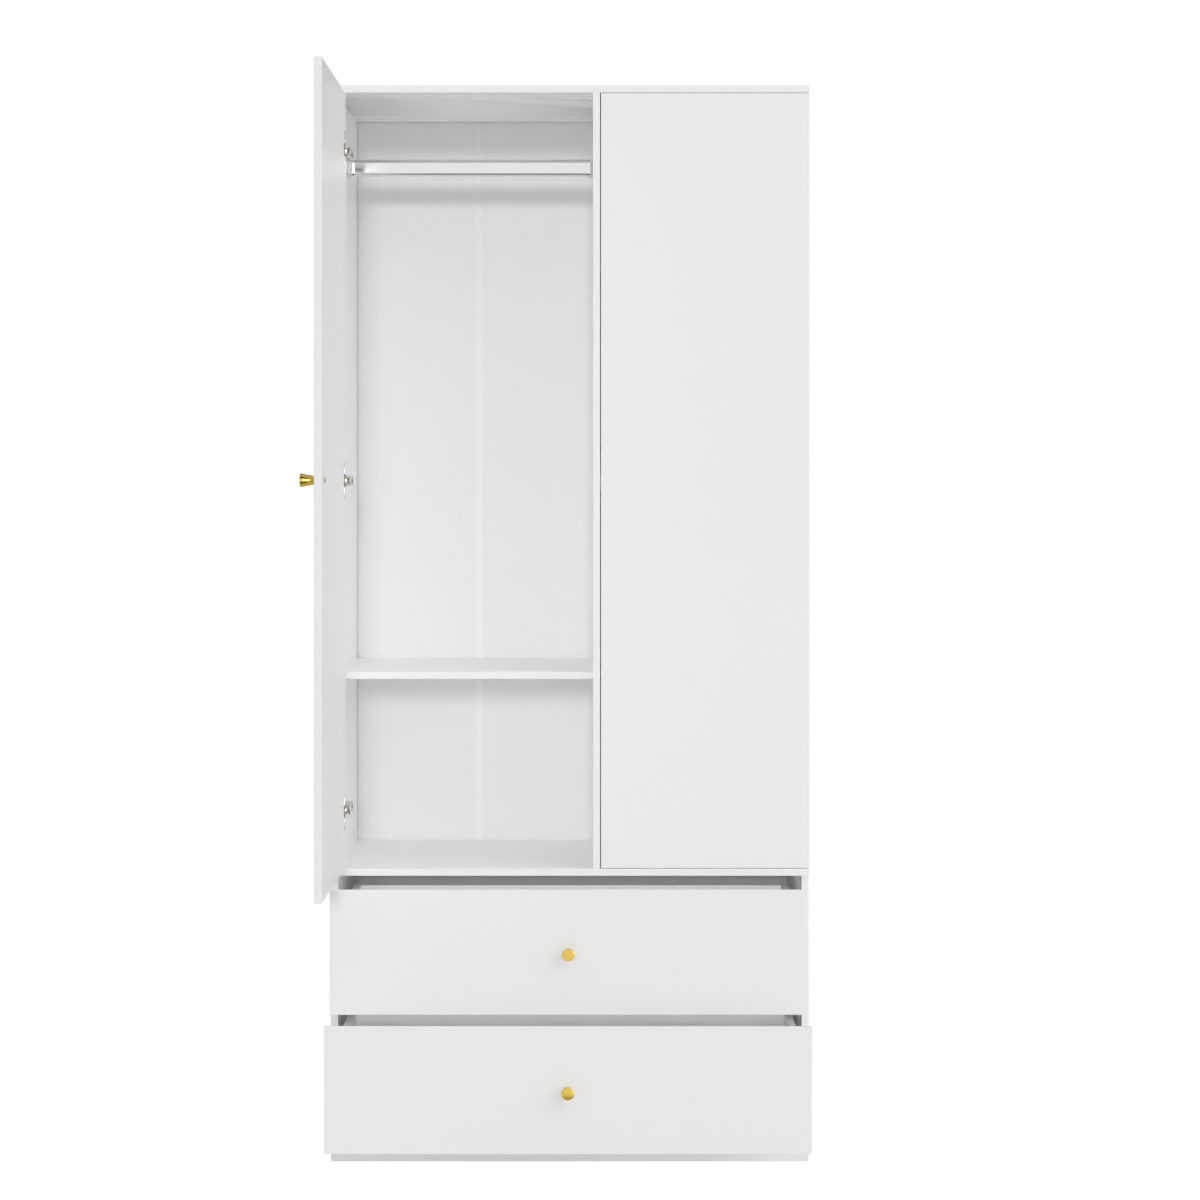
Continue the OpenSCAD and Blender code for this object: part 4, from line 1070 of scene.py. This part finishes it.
cams = recessed_tree("cross_recess_cam", shanked=False)
driven("fitting_screws", "carcass_small_screws", zinc)
driven("left_door_screws", "left_door_small_screws", zinc)
driven("right_door_screws", "right_door_small_screws", zinc)
driven("upper_drawer_fasteners", "upper_drawer_cams_and_screws", zinc)
driven("lower_drawer_fasteners", "lower_drawer_cams_and_screws", zinc)

# ---------------------------------------------------------------- knobs
# Three knobs turned from solid brass and polished to a bright gold: a cone that widens from the
# board to a short straight band, with its arrises eased, screwed on from inside.
KNOB_BAND = 0.004       # the straight band's width
KNOB_BASE = 0.0125 / 2  # the foot's radius, where it bears on the board
KNOB_EASE = 0.0008
KNOB_BORE = (0.00205, 0.014)    # the screw hole's radius and depth
KNOB_FACETS = 96
EASE_FACETS = 5
TURNING = 0.00313       # rings left by turning, drawn coarse enough to show


def polished_brass():
    """Polished, lacquered brass: mirror-bright warm gold, with the faintest turning rings."""
    material, tree, place = new_material("polished_lacquered_brass")
    wear = add(tree, "ShaderNodeTexNoise", {"Vector": place, "Scale": 1 / TURNING, "Detail": 3.0})
    tone = add(tree, "ShaderNodeMixRGB", {
        "Fac": wear.outputs["Fac"], "Color1": linear("#dfba4e"), "Color2": linear("#ecce68"),
    })
    gloss = add(tree, "ShaderNodeMapRange", {
        "Value": wear.outputs["Fac"], "To Min": 0.1, "To Max": 0.18,
    })
    relief = add(tree, "ShaderNodeBump", {
        "Height": wear.outputs["Fac"], "Strength": 0.03, "Distance": 0.0001,
    })
    finish_material(tree, {
        "Base Color": tone.outputs["Color"], "Metallic": 1.0, "Roughness": gloss.outputs["Result"],
        "Normal": relief.outputs["Normal"], "Coat Weight": 0.3, "Coat Roughness": 0.08,
    })
    return material


def eased(corner, before, after, ease):
    """A corner of a profile, rounded between a point before it and a point after it."""
    corner, before, after = Vector(corner), Vector(before), Vector(after)
    start = corner + (before - corner).normalized() * ease
    end = corner + (after - corner).normalized() * ease
    path = []
    for i in range(EASE_FACETS + 1):
        t = i / EASE_FACETS
        path.append(tuple(start * (1 - t) ** 2 + corner * 2 * t * (1 - t) + end * t ** 2))
    return path


def turned_knob(part, front_radius, length):
    """Turns the knob's profile about its own axis, from the middle of its front to its bore."""
    corners = [
        (0, 0), (front_radius, 0), (front_radius, KNOB_BAND), (KNOB_BASE, length),
        (KNOB_BORE[0], length), (KNOB_BORE[0], length - KNOB_BORE[1]), (0, length - KNOB_BORE[1]),
    ]
    eases = [0, KNOB_EASE, KNOB_EASE, KNOB_EASE / 3, KNOB_EASE / 6, 0, 0]
    profile = []
    for i, corner in enumerate(corners):
        if eases[i]:
            profile += eased(corner, corners[i - 1], corners[i + 1], eases[i])
        else:
            profile.append(corner)
    shape = bmesh.new()
    ring = [shape.verts.new((radius, 0, height)) for radius, height in profile]
    line = [shape.edges.new(pair) for pair in zip(ring, ring[1:])]
    bmesh.ops.spin(
        shape, geom=ring + line, cent=(0, 0, 0), axis=(0, 0, 1), angle=math.tau,
        steps=KNOB_FACETS, use_duplicate=False,
    )
    bmesh.ops.remove_doubles(shape, verts=shape.verts, dist=MERGE)
    bmesh.ops.recalc_face_normals(shape, faces=shape.faces)
    turn = part["facing"].to_track_quat("Z", "Y").to_matrix().to_4x4()
    bmesh.ops.transform(shape, matrix=turn, verts=shape.verts)
    bmesh.ops.translate(shape, vec=part["head"], verts=shape.verts)
    return shape


brass = polished_brass()
for node in ("left_door_knob", "upper_drawer_knob", "lower_drawer_knob"):
    knob = loose_parts(node)[0]
    knob_low, knob_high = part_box(node)
    front_radius = (knob_high.z - knob_low.z) / 2
    finish_piece(
        turned_knob(knob, front_radius, knob["length"]), node + "_turned", node,
        [brass], PEG_SMOOTH,
    )

# ---------------------------------------------------------------- push catch
# A push-to-open catch for the door without a knob: a moulded white body screwed to the divider
# and a sprung plunger that bears on the door's inner face.
CATCH_ROUND = 0.0006
softened_copy("push_catch_body", "push_catch_moulding", plastic, CATCH_ROUND)
softened_copy("push_catch_plunger", "push_catch_pin", nickel, PIN_ROUND)
